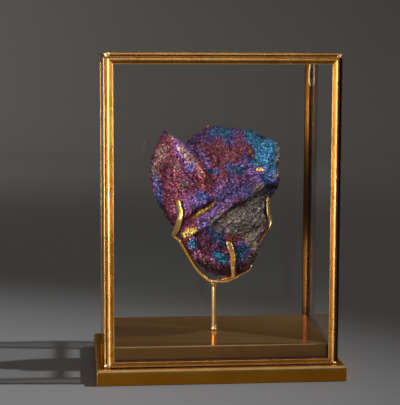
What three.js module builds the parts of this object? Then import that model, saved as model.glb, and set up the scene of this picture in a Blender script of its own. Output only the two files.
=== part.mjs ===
// A lump of peacock ore held by four brass claws on a post, inside a small glass display box that
// stands on a brass plinth. Millimetres, +Z up, -Y is the front. The origin is the middle of the
// plinth's underside.
import * as THREE from "three";
import { mergeVertices } from "three/addons/utils/BufferGeometryUtils.js";

// ---- Driving dimensions ----
const plinth = { width: 203, depth: 140, height: 12.7, chamfer: 1.6 };
const caseOverhang = 6.5; // plinth showing all round the glass case
const glassCase = {
  width: plinth.width - 2 * caseOverhang,
  depth: plinth.depth - 2 * caseOverhang,
  height: 252,
};
const channelFace = 5; // how far a brass channel reaches over its pane
const sideChannelThickness = 3;
const topChannelThickness = 3.8;
const paneThickness = 1.8;
const seatGap = 0.1; // between the pieces that the solder joins
const platform = { margin: 2, height: 16.5, chamfer: 0.8 };
const post = { radius: 2.4, seamHeight: 66.6, seamRadius: 2.1, neckRadius: 3.3, top: 70.1 };
const collar = { radius: 3.3, height: 4.2 };

const brassColour = 0x9a6a26;
const glassColour = 0xdfe8e6;
const oreColour = 0x5b3458;

const floorOfCase = plinth.height;
const platformTop = plinth.height + platform.height;

// ---- Materials ----
const brass = new THREE.MeshStandardMaterial({ color: brassColour, roughness: 0.35, metalness: 1 });
const glass = new THREE.MeshStandardMaterial({
  color: glassColour,
  roughness: 0.05,
  metalness: 0,
  transparent: true,
  opacity: 0.25,
});
const tarnish = new THREE.MeshStandardMaterial({ color: oreColour, roughness: 0.4, metalness: 0.6 });

// ---- Small helpers ----
const radians = (degrees) => (degrees * Math.PI) / 180;
const mix = (a, b, t) => a + (b - a) * t;
const smoothstep = (a, b, x) => {
  const t = Math.min(1, Math.max(0, (x - a) / (b - a)));
  return t * t * (3 - 2 * t);
};

// A closed geometry from points and triangles, turned to face outwards whatever their order.
function closedGeometry(points, triangles) {
  let volume = 0;
  for (const [a, b, c] of triangles) {
    volume += points[a].dot(new THREE.Vector3().crossVectors(points[b], points[c]));
  }
  const index = triangles.flatMap(([a, b, c]) => (volume < 0 ? [a, c, b] : [a, b, c]));
  const geometry = new THREE.BufferGeometry().setFromPoints(points);
  geometry.setIndex(index);
  geometry.computeVertexNormals();
  return geometry;
}

// Rings of equal length joined into a tube; each end is closed by the given triangles of a ring.
function ringedGeometry(rings, capTriangles) {
  const size = rings[0].length;
  const last = (rings.length - 1) * size;
  const triangles = [];
  for (let row = 0; row + 1 < rings.length; row++) {
    for (let k = 0; k < size; k++) {
      const a = row * size + k;
      const b = row * size + ((k + 1) % size);
      triangles.push([a, b, a + size], [b, b + size, a + size]);
    }
  }
  for (const [a, b, c] of capTriangles) triangles.push([a, c, b], [last + a, last + b, last + c]);
  return closedGeometry(rings.flat(), triangles);
}

const fanTriangles = (size) => Array.from({ length: size - 2 }, (_, k) => [0, k + 1, k + 2]);

function namedMesh(name, geometry, material) {
  const mesh = new THREE.Mesh(geometry, material);
  mesh.name = name;
  return mesh;
}

// A block on z = bottom whose top edges and, less deeply, upright edges are chamfered.
const uprightEdgeShare = 0.6;

function chamferedBlock({ width, depth, height, chamfer, bottom }) {
  const outline = (inset, z) => {
    const x = width / 2 - inset;
    const y = depth / 2 - inset;
    const c = chamfer * uprightEdgeShare;
    return [
      [x, -y + c], [x, y - c], [x - c, y], [-x + c, y],
      [-x, y - c], [-x, -y + c], [-x + c, -y], [x - c, -y],
    ].map(([px, py]) => new THREE.Vector3(px, py, z));
  };
  const rings = [
    outline(0, bottom),
    outline(0, bottom + height - chamfer),
    outline(chamfer, bottom + height),
  ];
  return ringedGeometry(rings, fanTriangles(8));
}

// ---- Glass panes in mitred brass channels ----
// The channel's section: a is measured inwards from the frame's outer edge, b through the pane.
function channelProfile(thickness) {
  const half = thickness / 2;
  const groove = paneThickness / 2 + seatGap;
  const grooveFloor = 1.4;
  const lipChamfer = 0.3;
  const round = half * 0.85;
  const arcSteps = 3;
  const corner = (sign, from) =>
    Array.from({ length: arcSteps + 1 }, (_, k) => {
      const angle = radians(from + (90 * k) / arcSteps);
      return [round + round * Math.cos(angle), sign * (half - round) + round * Math.sin(angle)];
    });
  return [
    [channelFace, groove],
    [channelFace, half - lipChamfer],
    [channelFace - lipChamfer, half],
    ...corner(1, 90),
    ...corner(-1, 180),
    [channelFace - lipChamfer, -half],
    [channelFace, -half + lipChamfer],
    [channelFace, -groove],
    [grooveFloor, -groove],
    [grooveFloor, groove],
  ];
}

// One channel strip along +X from the frame's corner, its inner side towards +Z, its ends at 45 deg.
function mitredStrip(length, thickness) {
  const profile = channelProfile(thickness);
  const ends = [
    (a) => a + seatGap / 2,
    (a) => length - a - seatGap / 2,
  ];
  const rings = ends.map((along) => profile.map(([a, b]) => new THREE.Vector3(along(a), b, a)));
  const contour = profile.map(([a, b]) => new THREE.Vector2(a, b));
  return ringedGeometry(rings, THREE.ShapeUtils.triangulateShape(contour, []));
}

// A framed pane in the XZ plane, its lower edge centred on the origin. edges names the strips in
// the order lower, right, upper, left.
function framedPane(side, width, height, thickness, edges) {
  const group = new THREE.Group();
  const inset = 1.6; // the pane's edge lies this far inside the channel's outer edge
  const pane = new THREE.BoxGeometry(width - 2 * inset, paneThickness, height - 2 * inset);
  pane.deleteAttribute("uv");
  const sheet = namedMesh(`${side}_pane`, pane, glass);
  sheet.position.z = height / 2;
  group.add(sheet);
  const corners = [
    { x: -width / 2, z: 0, turn: 0, length: width },
    { x: width / 2, z: 0, turn: -90, length: height },
    { x: width / 2, z: height, turn: 180, length: width },
    { x: -width / 2, z: height, turn: 90, length: height },
  ];
  corners.forEach(({ x, z, turn, length }, k) => {
    const strip = namedMesh(`${side}_channel_${edges[k]}`, mitredStrip(length, thickness), brass);
    strip.position.set(x, 0, z);
    strip.rotation.y = radians(turn);
    group.add(strip);
  });
  return group;
}

function glassBox() {
  const group = new THREE.Group();
  const t = sideChannelThickness;
  const { width, depth, height } = glassCase;
  const wallHeight = height - topChannelThickness - seatGap;
  const upright = (side, w, edges) => {
    const pane = framedPane(side, w, wallHeight, t, edges);
    pane.position.z = floorOfCase;
    group.add(pane);
    return pane;
  };
  // The side panes run the case's whole depth; the front and rear panes stand between them.
  const between = width - 2 * (t + seatGap);
  upright("front", between, ["bottom", "right", "top", "left"]).position.y = -(depth - t) / 2;
  upright("rear", between, ["bottom", "right", "top", "left"]).position.y = (depth - t) / 2;
  for (const [side, sign] of [["left", -1], ["right", 1]]) {
    const pane = upright(side, depth, ["bottom", "rear", "top", "front"]);
    pane.rotation.z = Math.PI / 2;
    pane.position.x = (sign * (width - t)) / 2;
  }
  // The lid's framed pane is built upright, then laid back over the four walls.
  const lid = framedPane("top", width, depth, topChannelThickness, ["front", "right", "rear", "left"]);
  lid.rotation.x = -Math.PI / 2;
  lid.position.set(0, -depth / 2, floorOfCase + height - topChannelThickness / 2);
  group.add(lid);
  return group;
}

// ---- The ore ----
// Its shape is a radius for each direction from the middle. Around the front view's outline the
// radius follows oreOutline, towards front and back it closes like a rounded cushion, and flat
// faces, ledges, ridges and hollows are cut into that. The round lump that this gives is then
// pressed to the depth of a slab.
const oreCentre = new THREE.Vector3(2, 0, 140);
const oreReach = 38; // from the middle to the front and the back, before cutting and pressing
const pressing = { share: 0.53, middle: -8 }; // the share of the depth kept, and where it lies
const roundness = 2.4;

// Angle from +X towards +Z, and the radius there, all round the front view.
const oreOutline = [
  [-85, 62.9], [-78, 64.4], [-71, 64.6], [-64, 63.4], [-59, 59.6], [-51, 53.4], [-40, 47.4],
  [-30, 44.4], [-16, 42.4], [-2, 41], [6, 45.8], [12, 50.5], [17, 53.2], [23, 54], [30, 59],
  [39, 67], [43, 68.3], [54, 66.9], [63, 66], [75, 62], [82, 62], [90, 62.6], [96, 61.5],
  [103, 58.4], [111, 57], [118, 55], [121.5, 57.4], [124, 64], [126, 75], [128, 73.4],
  [138, 68.6], [149, 64.2], [159, 59.7], [167, 55.2], [176, 51.6], [186, 47.4], [200, 43.4],
  [213, 42.2], [226, 43.4], [235, 44.6], [244, 49.2], [252, 54], [259, 57], [267, 60.4],
];

// Flat faces: the way each one looks (turned from the front towards +X, then raised) and how far
// it lies from the middle.
const oreFaces = [
  { name: "left face", turn: -36, rise: 8, distance: 38 },
  { name: "teal face", turn: 33, rise: 14, distance: 42 },
  { name: "top slope", turn: 0, rise: 50, distance: 52 },
  { name: "lower left", turn: -50, rise: -35, distance: 41 },
  { name: "lower front", turn: 8, rise: -30, distance: 39 },
  { name: "lower right", turn: 58, rise: -18, distance: 43 },
  { name: "back upper", turn: 205, rise: 22, distance: 39 },
  { name: "back right", turn: 148, rise: 10, distance: 38 },
  { name: "back lower", turn: 172, rise: -34, distance: 39 },
  { name: "back left", turn: 236, rise: -8, distance: 44 },
  { name: "back top", turn: 160, rise: 52, distance: 53 },
];
const faceSoftness = 1.4; // rounding of the edges between the faces
const rimBlend = 0.25; // how far from the outline, as a sine, before the faces are at full cut

// Points of the front's relief are places seen along this sight line, at the depth frontDepth.
const sightLine = { x: 0.11, z: -0.117 };
const frontDepth = -28;

// Ridges (height > 0) and grooves (height < 0) along a line of points, fading over width.
const oreCreases = [
  {
    name: "crest",
    height: 7.5,
    width: 5.5,
    line: [[-45, 203], [-35, 194], [-30, 186], [-19, 176], [-14, 167], [-11, 154]],
  },
  {
    name: "valley beside the crest",
    height: -9,
    width: 4.5,
    line: [[-24, 194], [-17, 185], [-9, 174], [-5, 164]],
  },
  { name: "violet ridge", height: 5, width: 4.5, line: [[19, 177], [28, 168], [33, 157]] },
  { name: "vein", height: -8, width: 2.4, line: [[-3, 143], [-12, 136], [-22, 130.5], [-28, 125]] },
  { name: "right notch", height: -8, width: 4.5, line: [[40, 156], [50, 152]] },
  { name: "lower rib", height: 4.5, width: 4, line: [[-20, 118], [-10, 104], [2, 96]] },
  { name: "bottom cleft", height: -4.5, width: 4, line: [[-17, 99], [-6, 94], [6, 92]] },
  { name: "right rib", height: 2.5, width: 3.5, line: [[36, 150], [37, 128], [30, 104]] },
];

// Round lumps and hollows: centre, height and reach in both directions.
const oreLumps = [
  { name: "basin", x: 2, z: 179, height: -10, reachX: 15, reachZ: 14 },
  { name: "matrix lump", x: 21, z: 127, height: 6.5, reachX: 14, reachZ: 16 },
  { name: "left cheek", x: -38, z: 166, height: 3.5, reachX: 11, reachZ: 14 },
  { name: "rim knob", x: -17, z: 189, height: 4.5, reachX: 5, reachZ: 5 },
  { name: "lower hollow", x: -5, z: 110, height: -4.5, reachX: 8, reachZ: 7 },
  { name: "foot lump", x: 25, z: 98, height: 3, reachX: 8, reachZ: 8 },
];

// The shelf: above this line the rock stands forward, below it the rock falls back under a lip.
const shelf = {
  line: [[46, 157], [36, 153], [26, 144], [13, 138.5], [1, 130], [-5, 123], [-20, 117]],
  lip: 3,
  lipWidth: 7,
  undercut: 9,
  edge: 2,
  recovery: 13,
};

// Broken facets at two sizes: each cell of a jittered grid is a small tilted flat.
const facetSizes = [
  { cell: 15, height: 5.5 },
  { cell: 8, height: 3 },
];
const rimShare = 0.3; // of the facets' height, at the outline

const fract = (x) => x - Math.floor(x);
const hash = (i, j, k, seed) =>
  fract(Math.sin(i * 127.1 + j * 311.7 + k * 74.7 + seed * 53.3) * 43758.5453);

// Height of the tilted flats at a point: the nearest jittered cell centre gives the flat's own
// height and slope, from -0.5 to 0.5 cell heights or so.
function facetHeight(p, cell) {
  const x = p.x / cell;
  const y = p.y / cell;
  const z = p.z / cell;
  let nearest = Infinity;
  let value = 0;
  for (let i = Math.floor(x) - 1; i <= Math.floor(x) + 1; i++) {
    for (let j = Math.floor(y) - 1; j <= Math.floor(y) + 1; j++) {
      for (let k = Math.floor(z) - 1; k <= Math.floor(z) + 1; k++) {
        const dx = x - i - hash(i, j, k, 1);
        const dy = y - j - hash(i, j, k, 2);
        const dz = z - k - hash(i, j, k, 3);
        const distance = dx * dx + dy * dy + dz * dz;
        if (distance >= nearest) continue;
        nearest = distance;
        value =
          0.5 * (hash(i, j, k, 4) - 0.5) +
          (hash(i, j, k, 5) - 0.5) * dx +
          (hash(i, j, k, 6) - 0.5) * dy +
          (hash(i, j, k, 7) - 0.5) * dz;
      }
    }
  }
  return value;
}

// The front view's outline radius at an angle in degrees, straight between its points.
function outlineRadius(angle) {
  const first = oreOutline[0][0];
  const turned = first + ((((angle - first) % 360) + 360) % 360);
  let next = oreOutline.findIndex(([a]) => a > turned);
  if (next < 0) next = oreOutline.length;
  const [a0, r0] = oreOutline[next - 1];
  const [a1, r1] = next < oreOutline.length ? oreOutline[next] : [first + 360, oreOutline[0][1]];
  return mix(r0, r1, (turned - a0) / (a1 - a0));
}

// Distance from a point to a line of points, and the signed side of it (positive on the left of
// the way the line runs).
function lineDistance(line, x, z) {
  let best = { distance: Infinity, side: 1 };
  for (let k = 0; k + 1 < line.length; k++) {
    const [ax, az] = line[k];
    const [bx, bz] = line[k + 1];
    const dx = bx - ax;
    const dz = bz - az;
    const along = Math.min(1, Math.max(0, ((x - ax) * dx + (z - az) * dz) / (dx * dx + dz * dz)));
    const distance = Math.hypot(x - ax - along * dx, z - az - along * dz);
    const side = dx * (z - az) - dz * (x - ax);
    if (distance < best.distance) best = { distance, side };
  }
  return best;
}

// The front's relief at a point of the surface: creases, lumps and the shelf's step.
function frontRelief(p) {
  const x = p.x - sightLine.x * (p.y - frontDepth);
  const z = p.z - sightLine.z * (p.y - frontDepth);
  let height = 0;
  for (const crease of oreCreases) {
    const { distance } = lineDistance(crease.line, x, z);
    height += crease.height * Math.exp(-((distance / crease.width) ** 2));
  }
  for (const lump of oreLumps) {
    const away = ((x - lump.x) / lump.reachX) ** 2 + ((z - lump.z) / lump.reachZ) ** 2;
    height += lump.height * Math.exp(-away);
  }
  const { distance, side } = lineDistance(shelf.line, x, z);
  const below = side > 0 ? distance : -distance;
  const step = smoothstep(-shelf.edge, shelf.edge, below);
  height += shelf.lip * (1 - step) * Math.exp(-((distance / shelf.lipWidth) ** 2));
  height -= shelf.undercut * step * Math.exp(-((distance / shelf.recovery) ** 2));
  return height;
}

// The ore's radius along a unit direction.
function oreRadius(u) {
  const flat = Math.hypot(u.x, u.z);
  const outline = outlineRadius((Math.atan2(u.z, u.x) * 180) / Math.PI);
  const cushion =
    ((flat / outline) ** roundness + (Math.abs(u.y) / oreReach) ** roundness) ** (-1 / roundness);
  let sum = Math.exp(-cushion / faceSoftness);
  for (const { turn, rise, distance } of oreFaces) {
    const level = Math.cos(radians(rise));
    const towards =
      u.x * Math.sin(radians(turn)) * level -
      u.y * Math.cos(radians(turn)) * level +
      u.z * Math.sin(radians(rise));
    if (towards > 0.01) sum += Math.exp(-distance / towards / faceSoftness);
  }
  const inside = smoothstep(0, rimBlend, Math.abs(u.y));
  const smooth = mix(cushion, -faceSoftness * Math.log(sum), inside);
  const p = u.clone().multiplyScalar(smooth).add(oreCentre);
  let radius = smooth + smoothstep(0.05, 0.4, -u.y) * frontRelief(p);
  for (const { cell, height } of facetSizes) {
    radius += height * mix(rimShare, 1, inside) * facetHeight(p, cell);
  }
  return radius;
}

// A place of the round lump, moved along the sight line to where it is in the pressed lump. The
// front view stays the same.
function pressed(p) {
  const shift = pressing.middle - (1 - pressing.share) * p.y;
  return new THREE.Vector3(p.x + sightLine.x * shift, p.y + shift, p.z + sightLine.z * shift);
}

function unpressed(p) {
  const y = (p.y - pressing.middle) / pressing.share;
  const shift = p.y - y;
  return new THREE.Vector3(p.x - sightLine.x * shift, y, p.z - sightLine.z * shift);
}

// A point on the ore, or standOff outside it: around is the angle in the front view, forward
// the angle out of that view's plane towards the front.
function onOre(around, forward, standOff = 0) {
  const level = Math.cos(radians(forward));
  const u = new THREE.Vector3(
    Math.cos(radians(around)) * level,
    -Math.sin(radians(forward)),
    Math.sin(radians(around)) * level,
  );
  return pressed(u.clone().multiplyScalar(oreRadius(u) + standOff).add(oreCentre));
}

// How far a point lies outside the round lump, measured from its middle.
function heightOverOre(point) {
  const away = unpressed(point).sub(oreCentre);
  const length = away.length();
  return length - oreRadius(away.divideScalar(length));
}

function peacockOre() {
  const fineness = 15; // each face of the icosahedron is split into (fineness + 1) squared triangles
  const sphere = new THREE.IcosahedronGeometry(1, fineness);
  sphere.deleteAttribute("normal");
  sphere.deleteAttribute("uv");
  const geometry = mergeVertices(sphere, 1e-4);
  const position = geometry.getAttribute("position");
  const u = new THREE.Vector3();
  for (let k = 0; k < position.count; k++) {
    u.fromBufferAttribute(position, k).normalize();
    const place = pressed(u.multiplyScalar(oreRadius(u)).add(oreCentre));
    position.setXYZ(k, place.x, place.y, place.z);
  }
  geometry.computeVertexNormals();
  return namedMesh("peacock_ore", geometry, tarnish);
}

// ---- The claw stand ----
// A bar along a smooth line of points, turning so that its flat side faces the ore. It starts as
// a bar of root size and is hammered to the tip's flat over the stretch from..to. Where it would
// touch the ore it is lifted clear.
const clawClearance = 0.8; // from the round lump, so down to half of this from the pressed one
const cornerReach = 1.06; // the bar's eight corners lie a little outside its half sizes
const tipRounding = 0.03; // the last part of the length, where the tip's corners round off
const liftFade = 3; // rings

function clawBar(name, points, { root, tip, from, to }) {
  const path = new THREE.CatmullRomCurve3(points, false, "centripetal");
  const steps = 4 * (points.length - 1);
  const sides = 8;
  const rings = [];
  for (let k = 0; k <= steps; k++) {
    const s = k / steps;
    const centre = path.getPointAt(s);
    const tangent = path.getTangentAt(s);
    const outward = unpressed(centre).sub(oreCentre);
    outward.y /= pressing.share;
    outward.addScaledVector(tangent, -outward.dot(tangent)).normalize();
    const across = new THREE.Vector3().crossVectors(tangent, outward);
    const flattened = smoothstep(from, to, s);
    const rounding = Math.sqrt(1 - 0.7 * Math.max(0, 1 - (1 - s) / tipRounding) ** 2);
    const halfWidth = (mix(root.width, tip.width, flattened) / 2) * rounding * cornerReach;
    const halfThickness = (mix(root.thickness, tip.thickness, flattened) / 2) * cornerReach;
    const ring = [];
    for (let side = 0; side < sides; side++) {
      const angle = (2 * Math.PI * (side + 0.5)) / sides;
      ring.push(
        centre
          .clone()
          .addScaledVector(across, halfWidth * Math.cos(angle))
          .addScaledVector(outward, halfThickness * Math.sin(angle)),
      );
    }
    const lift = Math.max(0, ...ring.map((corner) => clawClearance - heightOverOre(corner)));
    rings.push({ ring, outward, lift });
  }
  // The lift fades along the bar over a few rings, so that the bar stays smooth.
  rings.forEach(({ ring, outward }, k) => {
    const lifts = rings.map(({ lift }, j) => lift * Math.exp(-(((j - k) / liftFade) ** 2)));
    for (const corner of ring) corner.addScaledVector(outward, Math.max(...lifts));
  });
  const closed = ringedGeometry(rings.map(({ ring }) => ring), fanTriangles(sides));
  return namedMesh(name, closed, brass);
}

const bar = { width: 3.2, thickness: 2.8 };
const barGap = 0.35; // filled by solder between the post and the bars
const hubHeight = post.top + barGap + bar.thickness / 2;
const crossRise = -0.2; // of the right bar, from the hub to where the others cross it
const crossGap = 0.5; // between the right bar and the bars that cross it
const crossHeight = hubHeight + crossRise + bar.thickness + crossGap;
const at = (x, y, z) => new THREE.Vector3(x, y, z);
// The point at depth y that is seen where (x, 0, z) is.
const seenAt = (x, z, y) => at(x + sightLine.x * y, y, z + sightLine.z * y);

function clawArms() {
  const group = new THREE.Group();
  const claw = { root: bar, tip: { width: 4.8, thickness: 1.6 }, from: 0.55, to: 0.75 };
  const left = [
    at(-0.15, 0, hubHeight), at(-2.5, 0, hubHeight + 0.1), at(-8.7, 0, 76),
    seenAt(-16.2, 84.6, -2.5), seenAt(-22.7, 95.3, -6),
    onOre(-133, 3, 2.4), onOre(-143, 5, 3.2), onOre(-148, 19, 2.6),
    onOre(-157, 32, 2.2), onOre(-167, 37, 2), onOre(173, 31, 1.8),
  ];
  const right = [
    at(0.15, 0, hubHeight), at(3, 0, hubHeight), at(10, 0, hubHeight + crossRise),
    at(16.5, 0, 74.2), at(22.6, 0, 77.8), seenAt(29.2, 81.8, 0),
    onOre(-57, -12, 2.6), onOre(-48, -15, 3), onOre(-40, -11, 3.5), onOre(-33, 0, 3.6),
    onOre(-24, 14, 3), onOre(-13, 19, 2.6), onOre(-3, 20, 2.3), onOre(7, 20, 1.9),
  ];
  const front = [
    at(9.2, -0.15, crossHeight), at(9.8, -3, crossHeight), onOre(-78.5, 12, 2.4),
    onOre(-76.5, 22, 2.4), onOre(-76, 32, 2.2), onOre(-78, 41, 1.8),
  ];
  const back = [
    at(9.2, 0.15, crossHeight), at(8.6, 3, crossHeight), onOre(-88, -14, 2.4),
    onOre(-92, -26, 2.4), onOre(-98, -38, 2.2), onOre(-108, -50, 1.8),
  ];
  const tipEarly = { from: 0.25, to: 0.7 };
  group.add(clawBar("left_arm", left, claw));
  group.add(clawBar("right_arm", right, claw));
  group.add(clawBar("front_arm", front, { ...claw, ...tipEarly }));
  group.add(clawBar("back_arm", back, { ...claw, ...tipEarly }));
  return group;
}

function lathed(name, profile) {
  const sides = 20;
  const geometry = new THREE.LatheGeometry(profile.map(([r, z]) => new THREE.Vector2(r, z)), sides);
  const mesh = namedMesh(name, geometry, brass);
  mesh.rotation.x = Math.PI / 2;
  return mesh;
}

// The rod stands on the platform in a small collar; above a narrow seam its neck flares to carry
// the roots of the claws.
function standPost() {
  const group = new THREE.Group();
  const { radius, seamHeight, seamRadius, neckRadius, top } = post;
  const seamHalf = 1;
  const topChamfer = 0.5;
  const bottom = platformTop;
  const rod = [
    [0, bottom],
    [radius, bottom],
    [radius, seamHeight - seamHalf],
    [seamRadius, seamHeight],
    [radius, seamHeight + seamHalf],
    [mix(radius, neckRadius, 0.35), mix(seamHeight, top, 0.6)],
    [neckRadius, top - topChamfer],
    [neckRadius - topChamfer, top],
    [0, top],
  ];
  group.add(lathed("post", rod));
  const bore = radius + seatGap;
  const rimWall = 0.2;
  const ring = [
    [bore, bottom],
    [collar.radius, bottom],
    [collar.radius, bottom + 0.3 * collar.height],
    [mix(bore, collar.radius, 0.5), bottom + 0.8 * collar.height],
    [bore + rimWall, bottom + collar.height],
    [bore, bottom + collar.height],
    [bore, bottom],
  ];
  group.add(lathed("post_collar", ring));
  return group;
}

// ---- The base ----
function base() {
  const group = new THREE.Group();
  group.add(namedMesh("plinth", chamferedBlock({ ...plinth, bottom: 0 }), brass));
  const inner = 2 * (sideChannelThickness + platform.margin);
  const block = {
    width: glassCase.width - inner,
    depth: glassCase.depth - inner,
    height: platform.height,
    chamfer: platform.chamfer,
    bottom: plinth.height,
  };
  group.add(namedMesh("platform", chamferedBlock(block), brass));
  return group;
}

const displayBox = new THREE.Group();
displayBox.add(base(), glassBox(), standPost(), clawArms(), peacockOre());

export default displayBox;
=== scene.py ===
"""A lump of peacock ore held by brass claws, inside a small glass box on a brass plinth.

Shapes are worked out with numpy in millimetres and put into meshes in metres, each piece standing
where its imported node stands. Lamps and the camera are placed in metres. +Z is up and -Y is the
front.
"""

import math

import bmesh
import bpy
import numpy as np
from mathutils import Matrix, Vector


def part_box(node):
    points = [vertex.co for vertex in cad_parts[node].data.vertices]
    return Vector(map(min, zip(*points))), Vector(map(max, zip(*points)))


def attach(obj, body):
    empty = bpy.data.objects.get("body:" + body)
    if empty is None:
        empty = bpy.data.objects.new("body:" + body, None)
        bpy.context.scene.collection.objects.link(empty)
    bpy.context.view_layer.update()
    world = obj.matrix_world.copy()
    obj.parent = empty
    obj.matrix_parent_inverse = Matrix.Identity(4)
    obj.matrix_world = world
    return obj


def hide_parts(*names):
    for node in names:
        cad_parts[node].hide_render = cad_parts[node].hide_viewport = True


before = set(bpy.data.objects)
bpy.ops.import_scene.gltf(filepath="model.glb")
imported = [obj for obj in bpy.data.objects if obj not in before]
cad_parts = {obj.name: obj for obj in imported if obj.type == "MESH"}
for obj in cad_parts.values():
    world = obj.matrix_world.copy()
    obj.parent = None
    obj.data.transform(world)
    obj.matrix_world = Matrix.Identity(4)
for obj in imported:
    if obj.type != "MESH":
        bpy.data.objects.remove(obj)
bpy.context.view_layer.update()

MM = 0.001


# ---- Numbers and noise ----


def mix(a, b, t):
    return a + (b - a) * t


def smoothstep(low, high, x):
    """0 below low, 1 above high and an S-shaped curve between them."""
    t = np.clip((x - low) / (high - low), 0, 1)
    return t * t * (3 - 2 * t)


def unit(vectors):
    return vectors / np.linalg.norm(vectors, axis=-1, keepdims=True)


def cell_hash(cells, seed):
    """For each cell, the fraction of 43758.5453 sin(127.1 i + 311.7 j + 74.7 k + 53.3 seed)."""
    wave = np.sin(cells @ np.array([127.1, 311.7, 74.7]) + seed * 53.3) * 43758.5453
    return wave - np.floor(wave)


def noise(points, size, seed):
    """Random values from -1 to 1 at the corners of cubes of the given size, blended smoothly."""
    scaled = points / size
    base = np.floor(scaled)
    t = smoothstep(0, 1, scaled - base)
    total = np.zeros(len(points))
    for corner in np.ndindex(2, 2, 2):
        weight = np.prod(np.where(corner, t, 1 - t), axis=1)
        total += weight * (2 * cell_hash(base + corner, seed) - 1)
    return total


def fractal_noise(points, size, seed, octaves=3):
    """Octaves of noise, each half as large and half as high as the one before."""
    levels = [noise(points, size / 2**k, seed + k) / 2**k for k in range(octaves)]
    return sum(levels) / sum(0.5**k for k in range(octaves))


def facet_height(points, cell):
    """Small tilted flats, one for each cell of a jittered grid.

    The nearest jittered cell centre gives a point the flat's own height and slope, from about
    -0.5 to 0.5.
    """
    scaled = points / cell
    base = np.floor(scaled)
    nearest = np.full(len(points), np.inf)
    height = np.zeros(len(points))
    for step in np.ndindex(3, 3, 3):
        corner = base + np.array(step) - 1
        jitter = np.stack([cell_hash(corner, seed) for seed in (1, 2, 3)], 1)
        offset = scaled - corner - jitter
        distance = (offset**2).sum(1)
        flat = 0.5 * (cell_hash(corner, 4) - 0.5)
        for axis in range(3):
            flat = flat + (cell_hash(corner, 5 + axis) - 0.5) * offset[:, axis]
        closer = distance < nearest
        nearest = np.where(closer, distance, nearest)
        height = np.where(closer, flat, height)
    return height


# ---- Meshes ----


def node_box(node):
    """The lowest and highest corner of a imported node, in millimetres."""
    low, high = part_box(node)
    return np.array(low) / MM, np.array(high) / MM


def new_object(name, data):
    """Puts a new object with this data into the scene."""
    item = bpy.data.objects.new(name, data)
    bpy.context.scene.collection.objects.link(item)
    return item


def mesh_piece(name, shape, material, replaces=(), crease=40, attributes=None):
    """A closed piece of the object: it faces outwards, rides on the root and stands for its nodes.

    A shape is its points and faces. Edges sharper than crease degrees stay sharp, and attributes
    are one number for each point.
    """
    points, faces = shape
    mesh = bpy.data.meshes.new(name)
    mesh.from_pydata((points * MM).tolist(), [], [list(face) for face in faces])
    shell = bmesh.new()
    shell.from_mesh(mesh)
    bmesh.ops.recalc_face_normals(shell, faces=shell.faces)
    shell.to_mesh(mesh)
    shell.free()
    mesh.polygons.foreach_set("use_smooth", np.ones(len(mesh.polygons), bool))
    mesh.set_sharp_from_angle(angle=math.radians(crease))
    for key, values in (attributes or {}).items():
        layer = mesh.attributes.new(key, "FLOAT", "POINT")
        layer.data.foreach_set("value", np.asarray(values, np.float32))
    mesh.materials.append(material)
    piece = new_object(name, mesh)
    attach(piece, "root")
    if replaces:
        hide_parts(*replaces)


def turns(sides, start=0.0):
    """Angles that share out a full turn, from start steps on."""
    return 2 * math.pi * (np.arange(sides) + start) / sides


def tube(rings):
    """The shape of rings joined one after another, with a flat face over each end."""
    rings = np.asarray(rings)
    count, sides = rings.shape[:2]
    row = np.arange(count - 1)[:, None] * sides
    here = np.arange(sides)
    after = (here + 1) % sides
    quads = np.stack([row + here, row + after, row + sides + after, row + sides + here], -1)
    ends = [here[::-1].tolist(), ((count - 1) * sides + here).tolist()]
    return rings.reshape(-1, 3), quads.reshape(-1, 4).tolist() + ends


def joined(shapes):
    """Several shapes as one."""
    points, faces, start = [], [], 0
    for part_points, part_faces in shapes:
        points.append(part_points)
        faces += [[start + corner for corner in face] for face in part_faces]
        start += len(part_points)
    return np.concatenate(points), faces


# ---- Materials ----


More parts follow.
